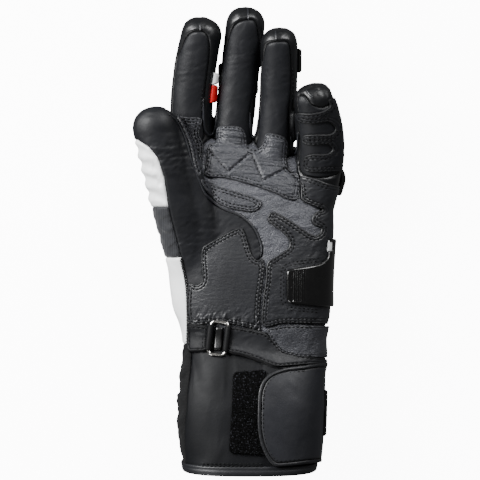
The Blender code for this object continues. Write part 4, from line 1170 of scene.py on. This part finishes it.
def rounded_corners(points, share=0.3, steps=4):
    """An outline with its corners cut back by a share of each edge, 3 mm at most, and joined by the
    Bezier curve a (1-t)^2 + 2 c t (1-t) + b t^2."""
    corners = on_grid(points)
    before, after = np.roll(corners, 1, axis=0), np.roll(corners, -1, axis=0)
    back, onward = before - corners, after - corners
    back *= np.minimum(share, CORNER / np.linalg.norm(back, axis=1))[:, None]
    onward *= np.minimum(share, CORNER / np.linalg.norm(onward, axis=1))[:, None]
    t = np.linspace(0, 1, steps)[:, None, None]
    curve = (corners + back) * (1 - t) ** 2 + 2 * corners * t * (1 - t) + (corners + onward) * t**2
    return curve.transpose(1, 0, 2).reshape(-1, 2)


def moulded(name, colours, roughness):
    """Injection moulded plastic: smooth and glossy, with very faint flow marks and fine scuffs."""
    made, tree, shader, _, scuffs, _ = finish_of(
        name, colours, roughness, settings={"Scale": 260, "Detail": 5, "Distortion": 1.5},
        Coat_Weight=0.25,
    )
    shine = add(tree, "ShaderNodeMapRange", {3: roughness - 0.06, 4: roughness + 0.12}, {0: scuffs})
    tree.links.new(shine.outputs[0], shader.inputs["Roughness"])
    bump = add(tree, "ShaderNodeBump", {"Strength": 0.3, "Distance": 0.00003}, {"Height": scuffs})
    tree.links.new(bump.outputs[0], shader.inputs["Normal"])
    return made


# polished in the mould, so the lights stand in it as sharp lines along its rim
MOULDED_BLACK = moulded("thermoplastic_black", ("#020202", "#050505"), roughness=0.20)
SLIDER_EDGE = rounded_corners(SLIDER_OUTLINE)


def slider_zone(points):
    """Inside the slider's outline and outside its window, both met where its top lies."""
    outer = points[:, :3] + points[:, 3:6] * SLIDER_REACH
    inside = both(outline_distance(outer, SLIDER_EDGE), above(points, 0.36 * PALM_DEPTH))
    return both(inside, -outline_distance(outer, SLIDER_WINDOW), owned(points, "trunk"))


def slider_relief(points, depth):
    """A crowned plate with a rounded rim, and ribs of half a wave each on the side next to the palm."""
    across = points[:, 0]
    ribbed = (across > RIB_START) & (across < RIB_END) & (depth > 0.0016)
    ribs = 0.00045 * np.abs(np.sin((across - RIB_START) * math.pi / RIB_PITCH))
    return roll(depth, 0.0013, 0.0009) + np.where(ribbed, ribs - 0.00045, 0.0)


def rib_band(place):
    """Zero along a line that runs with the ribs."""
    return lambda points: points[:, 0] - place


RIB_CUTS = range(int((RIB_END - RIB_START) / RIB_PITCH * 4) + 1)
cut_panel(
    "palm_slider_moulded", slider_zone, slider_relief, level=SLIDER_LEVEL, thickness=0.0020,
    look=MOULDED_BLACK, slot="moulded_black", rows=(0.2, 0.5, 0.9, 1.3),
    bands=[rib_band(RIB_START + RIB_PITCH * cut / 4) for cut in RIB_CUTS],
)


def window_zone(points):
    """A tongue of the white back that lies under the window, 0.6 mm larger than it all round."""
    outer = points[:, :3] + points[:, 3:6] * SLIDER_REACH
    inside = both(outline_distance(outer, SLIDER_WINDOW) - 0.0006, above(points, SPLIT * 0.6))
    return both(inside, owned(points, "trunk"))


cut_panel(
    "back_leather_tongue", window_zone, seam_edge, level=0.0022, thickness=0.0006,
    look=WHITE_COWHIDE, slot="leather_white", rows=(0.4,), fine=1, nodes=("back_leather",),
)
SLIDER_ROWS = []
for out in (0.0024, 0.0042):
    moved = inset(SLIDER_EDGE, -out)
    SLIDER_ROWS.append(moved[moved[:, 0] < 90 * ACROSS])
sewn_rows("slider_frame_stitches", SLIDER_ROWS, lift=PATCH_LEVEL - 0.0001)

# The guards on the back
# The knuckle guard, which the glove lies on, and a smaller moulded guard on the back of each finger
# and on the wrist bone. The one on the index finger is red.
# the coloured plastics are dyed through, and a little less polished than the slider
GUARD_RED = moulded("thermoplastic_red", ("#a01012", "#b81517"), roughness=0.28)
GUARD_WHITE = moulded("thermoplastic_white", ("#dcdedf", "#e8eaea"), roughness=0.28)
KNUCKLE_GUARD = [
    (-52, 88), (-30, 100), (20, 98), (60, 88), (140, 78), (140, 46), (60, 50), (15, 62), (-30, 66),
]
WRIST_GUARD_OUTLINE = [(62, -151), (140, -148), (140, -199), (62, -196)]
FINGER_GUARDS = {
    # start along, end along, left, right
    "index": (138, 156, -57, -18),
    "index_end": (156.5, 168, -57, -18),
    "middle": (146, 178, -19.5, 16),
    "ring": (168, 192, 26, 70),
    "little": (92, 116, 66, 100),
}


def guard_relief(bars):
    """A rounded rim, a raised field inside it, and bars across the field: half waves of the length."""

    def relief(points, depth):
        field = np.clip((depth - 0.0022) / 0.0012, 0, 1)
        waves = np.abs(np.sin(points[:, 1] * math.pi / bars))
        return roll(depth, 0.0016, 0.0013) - 0.0005 * field * (1 - waves)

    return relief


def knuckle_zone(points):
    """Inside the guard's outline, on the back."""
    under = points[:, 2] - SPLIT + 0.0003
    return both(outline_distance(points, curved(KNUCKLE_GUARD)), under, owned(points, "trunk", *FINGERS))


def wrist_guard_zone(points):
    """Inside the guard's outline, between two heights on the far side of the wrist."""
    edge = rounded_corners(WRIST_GUARD_OUTLINE)
    low, high = above(points, 0.2 * CUFF_DEPTH), points[:, 2] - 0.6 * CUFF_DEPTH
    return both(outline_distance(points, edge), low, high, owned(points, "trunk"))


def finger_guard_zone(guard):
    """Inside a guard's outline and under a plane 2 mm above the finger's middle one on the index
    finger, and 1.5 mm below it on the others."""
    which = guard.partition("_")[0]
    start, end, left, right = FINGER_GUARDS[guard]
    edge = rounded_corners([(left, start), (right, start), (right, end), (left, end)], 0.4)
    middle, slope = finger_plane(which)
    middle += 0.0020 if which == "index" else -0.0015

    def zone(points):
        under = points[:, 2] - middle - slope * points[:, 1]
        return both(outline_distance(points, edge), under, owned(points, which))

    return zone


RIM_ROWS = (0.3, 0.8, 1.4, 2.2, 3.2)
BLACK_GUARD = (MOULDED_BLACK, "moulded_black")
RED_GUARD = (GUARD_RED, "guard_red")
WHITE_GUARD = (GUARD_WHITE, "leather_white")
for name, zone, level, thick, (look, slot), bars in (
    ("knuckle_guard_moulded", knuckle_zone, 0.0048, 0.0045, BLACK_GUARD, 0.009),
    ("wrist_guard_moulded", wrist_guard_zone, 0.0053, 0.0016, BLACK_GUARD, 0.011),
    ("index_guard_moulded", finger_guard_zone("index"), 0.0029, 0.0026, RED_GUARD, 0.007),
    ("index_guard_end", finger_guard_zone("index_end"), 0.0027, 0.0024, WHITE_GUARD, 0.007),
    ("middle_guard_moulded", finger_guard_zone("middle"), 0.0029, 0.0026, BLACK_GUARD, 0.007),
    ("ring_guard_moulded", finger_guard_zone("ring"), 0.0029, 0.0026, BLACK_GUARD, 0.006),
    ("little_guard_moulded", finger_guard_zone("little"), 0.0029, 0.0026, BLACK_GUARD, 0.006),
):
    cut_panel(name, zone, guard_relief(bars), level, thick, look, slot, RIM_ROWS)

# The cuff
# Smooth cowhide in front and behind, a gathered stretch cloth at the thumb side, and a doubled
# binding turned over the hem.
CUFF_SPLIT = 0.5 * CUFF_DEPTH
CUFF_EDGE = on_grid([
    (-55.5, -226), (-56.5, -205), (-56, -184), (-54.5, -176), (-53.5, -153), (-51.5, -135), (-49.5, -113),
])
# the gusset's cloth is unbrushed, so next to no light comes back out of its gathers
STRETCH_BLACK = knit(
    "stretch_cloth_black", ("#040405", "#090a0b"), roughness=0.9, pitch=0.0010, turn=1.5708, sheen=0.02
)
# a dull hide that is nearly black, so that the cuff reads as one soft dark field
CUFF_HIDE = leather(
    "cowhide_cuff", ("#08090b", "#0d0e11", "#040405"),
    grain=0.0009, grain_depth=0.00004, crease=0.006, roughness=0.56, specular=0.16,
)


def cuff_side(points):
    """The cuff's side of the wrist line, up to the leaning mouth, where the hem covers its edge."""
    mouth = TRUNK[0][0] * ALONG - MOUTH_LEAN * (points[:, 2] - 0.031) + 0.0012 - points[:, 1]
    return both(-outline_distance(points, WRIST_LINE), mouth, owned(points, "trunk", "thumb"))


def left_of_edge(points):
    """Negative to the left of the cuff's front edge: x less the edge's x at the same y."""
    return points[:, 0] - np.interp(points[:, 1], CUFF_EDGE[:, 1], CUFF_EDGE[:, 0])


def cuff_front_zone(points):
    """The cuff right of its front edge, above the middle of its depth."""
    return both(cuff_side(points), -left_of_edge(points), above(points, CUFF_SPLIT))


def gusset_zone(points):
    """The cuff left of its front edge, down to a fifth of its depth."""
    return both(cuff_side(points), left_of_edge(points), above(points, 0.22 * CUFF_DEPTH))


def cuff_back_zone(points):
    """What the front and the gusset leave of the cuff."""
    return both(cuff_side(points), -cuff_front_zone(points), -gusset_zone(points))


def cuff_relief(points, depth):
    """Broad soft folds that run down the cuff from the strap, deepest near the wrist."""
    v = points[:, 1] / ALONG
    wrist = np.exp(-(((v + 125) / 22) ** 2))
    folds = 0.0007 * wrist * ripple(points, 0.03, 31, (2.5, 0.4, 0.5))
    return seam_edge(points, depth) + folds + 0.0003 * ripple(points, 0.045, 32)


def gusset_relief(points, depth):
    """Gathers across the cuff, some 16 mm apart, flattened where the cloth is sewn."""
    gathers = 0.0009 * ripple(points, 0.016, 33, (0.3, 2.6, 1.0))
    return roll(depth, 0.002, 0.001) + gathers * np.clip(depth / 0.003, 0, 1)


for name, zone, relief, look, slot in (
    ("cuff_leather_sewn", cuff_front_zone, cuff_relief, CUFF_HIDE, "leather_black"),
    ("cuff_gusset_sewn", gusset_zone, gusset_relief, STRETCH_BLACK, "stretch_black"),
    ("cuff_back_sewn", cuff_back_zone, cuff_relief, CUFF_HIDE, "leather_black"),
):
    cut_panel(name, zone, relief, 0.0, LEATHER, look, slot)

# The wrist strap
# A doubled leather strap pulls through a steel loop that a stub holds at the thumb side. A rubber
# keeper lies in the loop, and a wide goatskin tab closes over the far side of the strap.
STRAP_OUTLINE = [
    (-12, -85.5), (10, -88.8), (27, -92.5), (50, -98), (140, -108), (140, -136), (60, -131),
    (34, -129), (22, -123.5), (5, -117), (-13.5, -113),
]
STUB_OUTLINE = [(-52.0, -83), (-28.5, -85.5), (-30.5, -112.5), (-52.0, -113)]
STRAP_DOUBLED = [
    (-12.5, -86), (8, -89), (26, -93), (36, -104), (42, -112), (58, -116.5), (84, -119.1),
    (84, -124.2), (60, -126.3), (36, -128.4), (22, -122.5), (6, -116.5), (-14, -112.5),
]
STUB_DOUBLED = [(-50.5, -84), (-29.5, -86), (-31.5, -112), (-50.5, -112.5)]
KEEPER_OUTLINE = [(-24.6, -86.5), (-16, -87), (-17.9, -111.5), (-26.6, -111)]
TAB_OUTLINE = [
    (24.5, -88.5), (50, -85), (140, -86), (140, -119), (88, -118), (55, -118), (41, -114), (35, -106),
]
EDGE_ROW = (0.3, 0.6, 1.0, 1.4, 1.8, 2.4)
STRAP_ROW = 0.0013


def strap_relief(points, depth):
    """Edges rolled down, one stitched channel 1.3 mm in, and slight waves along the strap."""
    channel = 0.00035 * groove(depth, STRAP_ROW, 0.0004)
    return roll(depth, 0.0008, 0.0007) + channel + 0.00018 * ripple(points, 0.012, 41)


def flat_zone(edge, height):
    """Inside an edge and above a height, on the cuff and the palm."""

    def zone(points):
        return both(outline_distance(points, edge), above(points, height), owned(points, "trunk", "thumb"))

    return zone


def box_of(node):
    """The middle, the three axes and the half sizes of a node, from its own spread of points."""
    points = np.array([corner.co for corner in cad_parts[node].data.vertices])
    _, _, axes = np.linalg.svd(points - points.mean(axis=0), full_matrices=False)
    places = (points - points.mean(axis=0)) @ axes.T
    middle = points.mean(axis=0) + ((places.max(axis=0) + places.min(axis=0)) / 2) @ axes
    return middle, axes, (places.max(axis=0) - places.min(axis=0)) / 2


# split cowhide, pressed smooth where it is folded double, with a dull even shine along its edges
STRAP_LOOK = leather(
    "cowhide_strap", ("#0b0c0f", "#131418", "#060607"),
    grain=0.0009, grain_depth=0.00006, crease=0.005, roughness=0.50, specular=0.35,
)
ALL_ROUND = -1.0
for name, outline, height, level, thick, look, node in (
    ("wrist_strap_sewn", STRAP_OUTLINE, ALL_ROUND, 0.0017, 0.0014, STRAP_LOOK, "wrist_strap"),
    ("strap_stub_sewn", STUB_OUTLINE, SPLIT, 0.0017, 0.0014, CUFF_HIDE, "strap_stub"),
    ("wrist_strap_doubled", STRAP_DOUBLED, SPLIT, 0.0031, 0.0028, STRAP_LOOK, "wrist_strap"),
    ("strap_stub_doubled", STUB_DOUBLED, SPLIT, 0.0031, 0.0028, CUFF_HIDE, "strap_stub"),
    ("side_tab_sewn", TAB_OUTLINE, SPLIT, 0.0033, 0.0013, GOATSKIN, "side_tab"),
):
    zone = flat_zone(rounded_corners(outline), height)
    cut_panel(name, zone, strap_relief, level, thick, look, "leather_black", EDGE_ROW, 0, (node,))
for name, outlines, level in (
    ("strap_stitches", (STRAP_DOUBLED, STUB_DOUBLED), 0.0030),
    ("tab_stitches", (TAB_OUTLINE,), 0.0031),
):
    sewn_rows(name, [inset(rounded_corners(outline), STRAP_ROW) for outline in outlines], level)
STUB_END = [on_grid([(-35, -86), (-36.6, -112)]), on_grid([(-33, -86), (-34.6, -112)])]
sewn_rows("stub_end_stitches", STUB_END, lift=0.0029)


def chrome():
    """Polished steel wire with a thin chromium plate: a bright line with a dark one beside it."""
    made, tree, shader, _, drift, _ = finish_of(
        "steel_chromed", ("#c9c5bf", "#e6e4e0"), roughness=0.14,
        settings={"Scale": 400, "Detail": 3}, Metallic=1.0,
    )
    shine = add(tree, "ShaderNodeMapRange", {3: 0.10, 4: 0.22}, {0: drift}).outputs[0]
    tree.links.new(shine, shader.inputs["Roughness"])
    return made


# the same strap where it bends sharply and is worn dull by the loop, in a colour darker than the strap's
# that is a painted shade
FOLD_LOOK = leather(
    "cowhide_fold", ("#050506", "#0a0a0c", "#030304"),
    grain=0.0009, grain_depth=0.00004, crease=0.005, roughness=0.62, specular=0.15,
)
WIRE, WIRE_CORNER, WIRE_RINGS, WIRE_SIDES = 0.0010, 0.0030, 96, 14
FOLD_RADIUS, FOLD_HALF_LENGTH, FOLD_RINGS = 0.0021, 0.0086, 24


def strap_hardware():
    """The loop, a round wire bent to a rounded rectangle with both its ends meeting, and the fold of
    leather round each of its long bars: a short thick tube, a little slimmer at its two ends."""
    middle, axes, half = box_of("strap_loop")
    middle = middle - SHIFT
    reach = np.array([half[1] - WIRE, half[0] - WIRE])
    turn = np.linspace(0, 2 * math.pi, WIRE_RINGS, endpoint=False)
    quarter = np.stack([np.sign(np.cos(turn)), np.sign(np.sin(turn))], axis=1)
    path = quarter * (reach - WIRE_CORNER) + WIRE_CORNER * np.stack([np.cos(turn), np.sin(turn)], axis=1)
    centres = middle + path[:, :1] * axes[1] + path[:, 1:] * axes[0]
    ahead = np.roll(centres, -1, axis=0) - np.roll(centres, 1, axis=0)
    ahead /= np.linalg.norm(ahead, axis=1)[:, None]
    out = np.cross(ahead, axes[2])
    around = np.arange(WIRE_SIDES)[:, None] * 2 * math.pi / WIRE_SIDES
    rings = centres[:, None] + WIRE * (np.cos(around) * out[:, None] + np.sin(around) * axes[2])
    quads = ring_quads(WIRE_RINGS, WIRE_SIDES, closed=True)[:, [0, 3, 2, 1]]
    if np.dot(np.cross(out[0], axes[2]), ahead[0]) < 0:
        quads = quads[:, ::-1]
    piece("strap_loop_wire", rings.reshape(-1, 3), quads, chrome(), ("strap_loop",), "steel")
    for name, sign, node in (("wrist_strap_fold", 1, "wrist_strap"), ("strap_stub_fold", -1, "strap_stub")):
        towards = axes[1] * np.sign(axes[1][0]) * sign
        ends = axes[0] * FOLD_HALF_LENGTH
        line = np.linspace(-1, 1, FOLD_RINGS)[:, None] * ends + middle + towards * reach[0]
        swell = np.sin(np.linspace(0.0, math.pi, FOLD_RINGS)) ** 0.3
        points, faces = tube_through(line, FOLD_RADIUS * np.minimum(1, 0.86 + 0.14 * swell), 20)
        piece(name, points, faces, FOLD_LOOK, (node,), "leather_black")


strap_hardware()


def keeper_relief(points, depth):
    """A pillow of rubber, highest along its middle."""
    return -0.0009 * (1 - np.clip(depth / 0.0016, 0, 1)) ** 2


# moulded rubber, duller than the plastics, so its pillow shows one broad soft light
RUBBER = moulded("rubber_black", ("#020202", "#040405"), roughness=0.32)
cut_panel(
    "strap_keeper_moulded", flat_zone(rounded_corners(KEEPER_OUTLINE), SPLIT), keeper_relief,
    level=0.0029, thickness=0.0026, look=RUBBER, slot="rubber_black", rows=(0.3, 0.7, 1.2, 1.8), fine=1,
)

# The closing flap and its pile
# A wide leather flap wraps over from the far side and is bound all round with a folded strip. Under
# it lies a strip of brushed nylon pile, its loops standing about a millimetre high.
LOOP_PATCH = [(-7, -133), (26, -130), (30, -216), (-11, -213), (-8, -170)]
FLAP_OUTLINE = [
    (17.5, -170), (19, -150), (26, -138), (38, -131.5), (60, -127.5), (140, -121), (140, -218),
    (80, -222), (45, -226), (32, -224.5), (22.5, -210), (18, -192),
]
FLAP_BINDING_WIDTH = 0.0024
FLAP_FOOT = 0.4 * CUFF_DEPTH
FLAP_EDGE = curved(FLAP_OUTLINE)
flap_zone = flat_zone(FLAP_EDGE, FLAP_FOOT)


def flap_middle(points):
    """The flap inside its binding."""
    return flap_zone(points) + FLAP_BINDING_WIDTH


def flap_rim(points):
    """The band of the flap that its binding covers."""
    return both(flap_zone(points), -flap_zone(points) - FLAP_BINDING_WIDTH + 0.0001)


def flap_relief(points, depth):
    """Nearly flat, sunk a little along the binding, with broad shallow waves."""
    waves = roll(depth, 0.0012, 0.0005) + 0.00025 * ripple(points, 0.045, 51)
    return waves + 0.00002 * ripple(points, 0.006, 52)


def binding_relief(points, depth):
    """A rounded strip: its height over its half width is a circle's."""
    half = FLAP_BINDING_WIDTH / 2
    return 0.0007 * np.sqrt(np.clip(1 - ((depth - half) / half) ** 2, 0, 1)) - 0.0006


# the binding is stretched over the edge, so it is smoother than the flap and draws a thin light line
BINDING_LOOK = leather(
    "cowhide_binding", ("#0f1013", "#17181c", "#08080a"),
    grain=0.0008, grain_depth=0.00004, crease=0.004, roughness=0.46, specular=0.38,
)
# the flap's hide lies flat and faces the light; its colour, a shade greyer than the cuff's round it, is
# painted light
FLAP_HIDE = leather(
    "cowhide_flap", ("#131418", "#1b1c21", "#08080a"),
    grain=0.0009, grain_depth=0.00004, crease=0.006, roughness=0.50, specular=0.38,
)
cut_panel(
    "cuff_flap_sewn", flap_middle, flap_relief, level=0.0034, thickness=0.0016, look=FLAP_HIDE,
    slot="leather_black", rows=(0.3, 0.7, 1.2),
)
cut_panel(
    "flap_binding_sewn", flap_rim, binding_relief, level=0.0038, thickness=0.0020, look=BINDING_LOOK,
    slot="binding_black", rows=(0.15, 0.4, 0.8, 1.2),
)
sewn_rows("flap_stitches", [inset(FLAP_EDGE, FLAP_BINDING_WIDTH + 0.0012)], lift=0.0032)


def pile_finish():
    """Brushed nylon: very dark and rough, with grey specks in its colour that are painted glints of the
    small lights its loops catch.
    """
    made, tree, _, _, mottle, colour = finish_of(
        "nylon_pile_black", ("#010101", "#303136"), roughness=0.9, specular=0.08,
        settings={"Scale": 1100, "Detail": 2},
    )
    # grey specks in the colour: painted glints where the loops would catch the light
    painted_glints = add(tree, "ShaderNodeMapRange", {1: 0.60, 2: 0.70}, {0: mottle}).outputs[0]
    tree.links.new(painted_glints, colour.node.inputs[0])
    return made


PILE_LOOK = pile_finish()
PILE_EDGE = rounded_corners(LOOP_PATCH)
PILE_THREADS = 6800


def pile_relief(points, depth):
    """The woven ground of the pile: edges rolled down, and lumps some 2 mm apart."""
    return roll(depth, 0.0008, 0.0007) + 0.00008 * ripple(points, 0.0022, 55)


cut_panel(
    "loop_pile_woven", flat_zone(PILE_EDGE, CUFF_SPLIT), pile_relief, level=0.0014, thickness=0.0012,
    look=PILE_LOOK, slot="pile_black", rows=(0.4, 0.8), fine=1,
)


def loops_of_pile(count):
    """Short bent threads standing at set random places inside the patch, each about 1 mm long and
    leaning its own way."""
    draw = np.random.default_rng(60)
    low, high = PILE_EDGE.min(axis=0), PILE_EDGE.max(axis=0)
    places = low + draw.random((count, 2)) * (high - low)
    places = places[outline_distance(places, PILE_EDGE) < 0.0001]
    foot, normals = seated(places, 0.0010)
    lean = draw.normal(size=(len(places), 3)) * 0.0004
    return capsules(foot, foot + normals * 0.0005 + lean, np.roll(normals, 1, axis=1), 0.00024, 3)


points, faces = loops_of_pile(PILE_THREADS)
piece("loop_pile_threads", points, faces, PILE_LOOK, (), "pile_black")

# The hem
# A strip of the cuff's leather is folded over the hem and sewn down with two rows of stitches. It
# turns round the edge and a little way up the inside, where its own edge is folded under.
HEM_TOP = -221.5


def hem():
    """A band carried round the mouth of the cuff: its section goes down the outside, round the edge
    of the leather and a little way up the inside, and back under itself."""
    sides = 160
    top = (HEM_TOP - TRUNK[0][0]) * ALONG
    reach = 0.0015
    section = np.array([
        # how far up from the edge, and how far out from the leather
        (top, 0.0001), (top, 0.0008), (top - 0.0006, 0.0013), (top - 0.0012, 0.0015),
        (top - 0.0020, 0.0011), (top - 0.0026, 0.0015), (0.0008, 0.0015), (0.0, 0.0014),
        (-reach * 0.6, 0.0010), (-reach, 0.0), (-reach, -0.0012), (-reach * 0.6, -0.0018),
        (0.0006, -0.0018), (0.0006, -0.0006), (0.0016, 0.0001),
    ])
    rings = []
    for up, out in section:
        row = TRUNK_LINE[:1].copy()
        row[0, 0] = TRUNK[0][0] + max(up, 0.0) / ALONG
        for column in range(1, 6):
            row[0, column] = np.interp(row[0, 0], TRUNK_LINE[:, 0], TRUNK_LINE[:, column])
        rings.append(trunk_rings(row, out, sides, min(up, 0.0))[0])
    points = np.stack(rings)
    points[..., 2] = np.maximum(points[..., 2], 0.0)
    return points.reshape(-1, 3), ring_quads(len(section), sides, closed=True)


points, faces = hem()
even = np.zeros(len(points))
piece("cuff_hem_sewn", points, faces, BINDING_LOOK, ("cuff_hem",), "leather_black", edge=even)
HEM_ROWS = [spaced(on_grid([(-54, v), (10, v), (26, v)]), 0.001)[0] for v in (-223.6, -226.2)]
sewn_rows("hem_stitches", HEM_ROWS, lift=0.0012)

# The camera, the floor and the light
# The glove is seen from straight above through a long lens, on a pale table. A large soft light
# stands at the upper left, with a weaker one at the upper right and one low at the near side.
FRAME_WIDTH = 480 * ALONG
CAMERA_HEIGHT, FRAMED_HEIGHT = 6.0, 0.060
TABLE_HALF = 4.0


def studio():
    """A floor, a long lens that frames 480 grid units, and three large soft lights."""
    mesh = bpy.data.meshes.new("table_top")
    corners = [(x * TABLE_HALF, y * TABLE_HALF, 0) for x, y in ((-1, -1), (1, -1), (1, 1), (-1, 1))]
    mesh.from_pydata(corners, [], [(0, 1, 2, 3)])
    floor = bpy.data.objects.new("table_top", mesh)
    bpy.context.scene.collection.objects.link(floor)
    paper = bpy.data.materials.new("white_paper")
    paper.use_nodes = True
    sheet = paper.node_tree.nodes["Principled BSDF"].inputs
    sheet["Base Color"].default_value = linear("#f6f6f6")
    sheet["Roughness"].default_value = 0.9
    sheet["Emission Color"].default_value = (1, 1, 1, 1)
    sheet["Emission Strength"].default_value = 10
    mesh.materials.append(paper)
    floor.visible_diffuse = False
    floor.visible_glossy = False
    lens = bpy.data.cameras.new("camera")
    lens.sensor_width = 36
    lens.lens = 36 * (CAMERA_HEIGHT - FRAMED_HEIGHT) / FRAME_WIDTH
    lens.clip_end = 100
    camera = bpy.data.objects.new("camera", lens)
    camera.location = (SHIFT[0], SHIFT[1], CAMERA_HEIGHT)
    bpy.context.scene.collection.objects.link(camera)
    bpy.context.scene.camera = camera
    for name, place, size, power in (
        ("key", (-1.1, 0.7, 0.9), 0.8, 72),
        ("fill", (0.75, 1.15, 0.85), 0.7, 26),
        ("low", (-0.9, -1.2, 0.6), 0.7, 9),
    ):
        light = bpy.data.lights.new(name, "AREA")
        light.size = size
        light.energy = power
        lamp = bpy.data.objects.new(name, light)
        lamp.location = place
        lamp.visible_camera = False
        way = -np.array(place)
        lamp.rotation_euler = (
            math.atan2(math.hypot(way[0], way[1]), -way[2]), 0.0, math.atan2(way[1], way[0]) - math.pi / 2
        )
        bpy.context.scene.collection.objects.link(lamp)
    world = bpy.data.worlds.new("studio")
    world.use_nodes = True
    air = world.node_tree.nodes["Background"].inputs
    air[0].default_value = (1, 1, 1, 1)
    air[1].default_value = 0.15
    bpy.context.scene.world = world


studio()
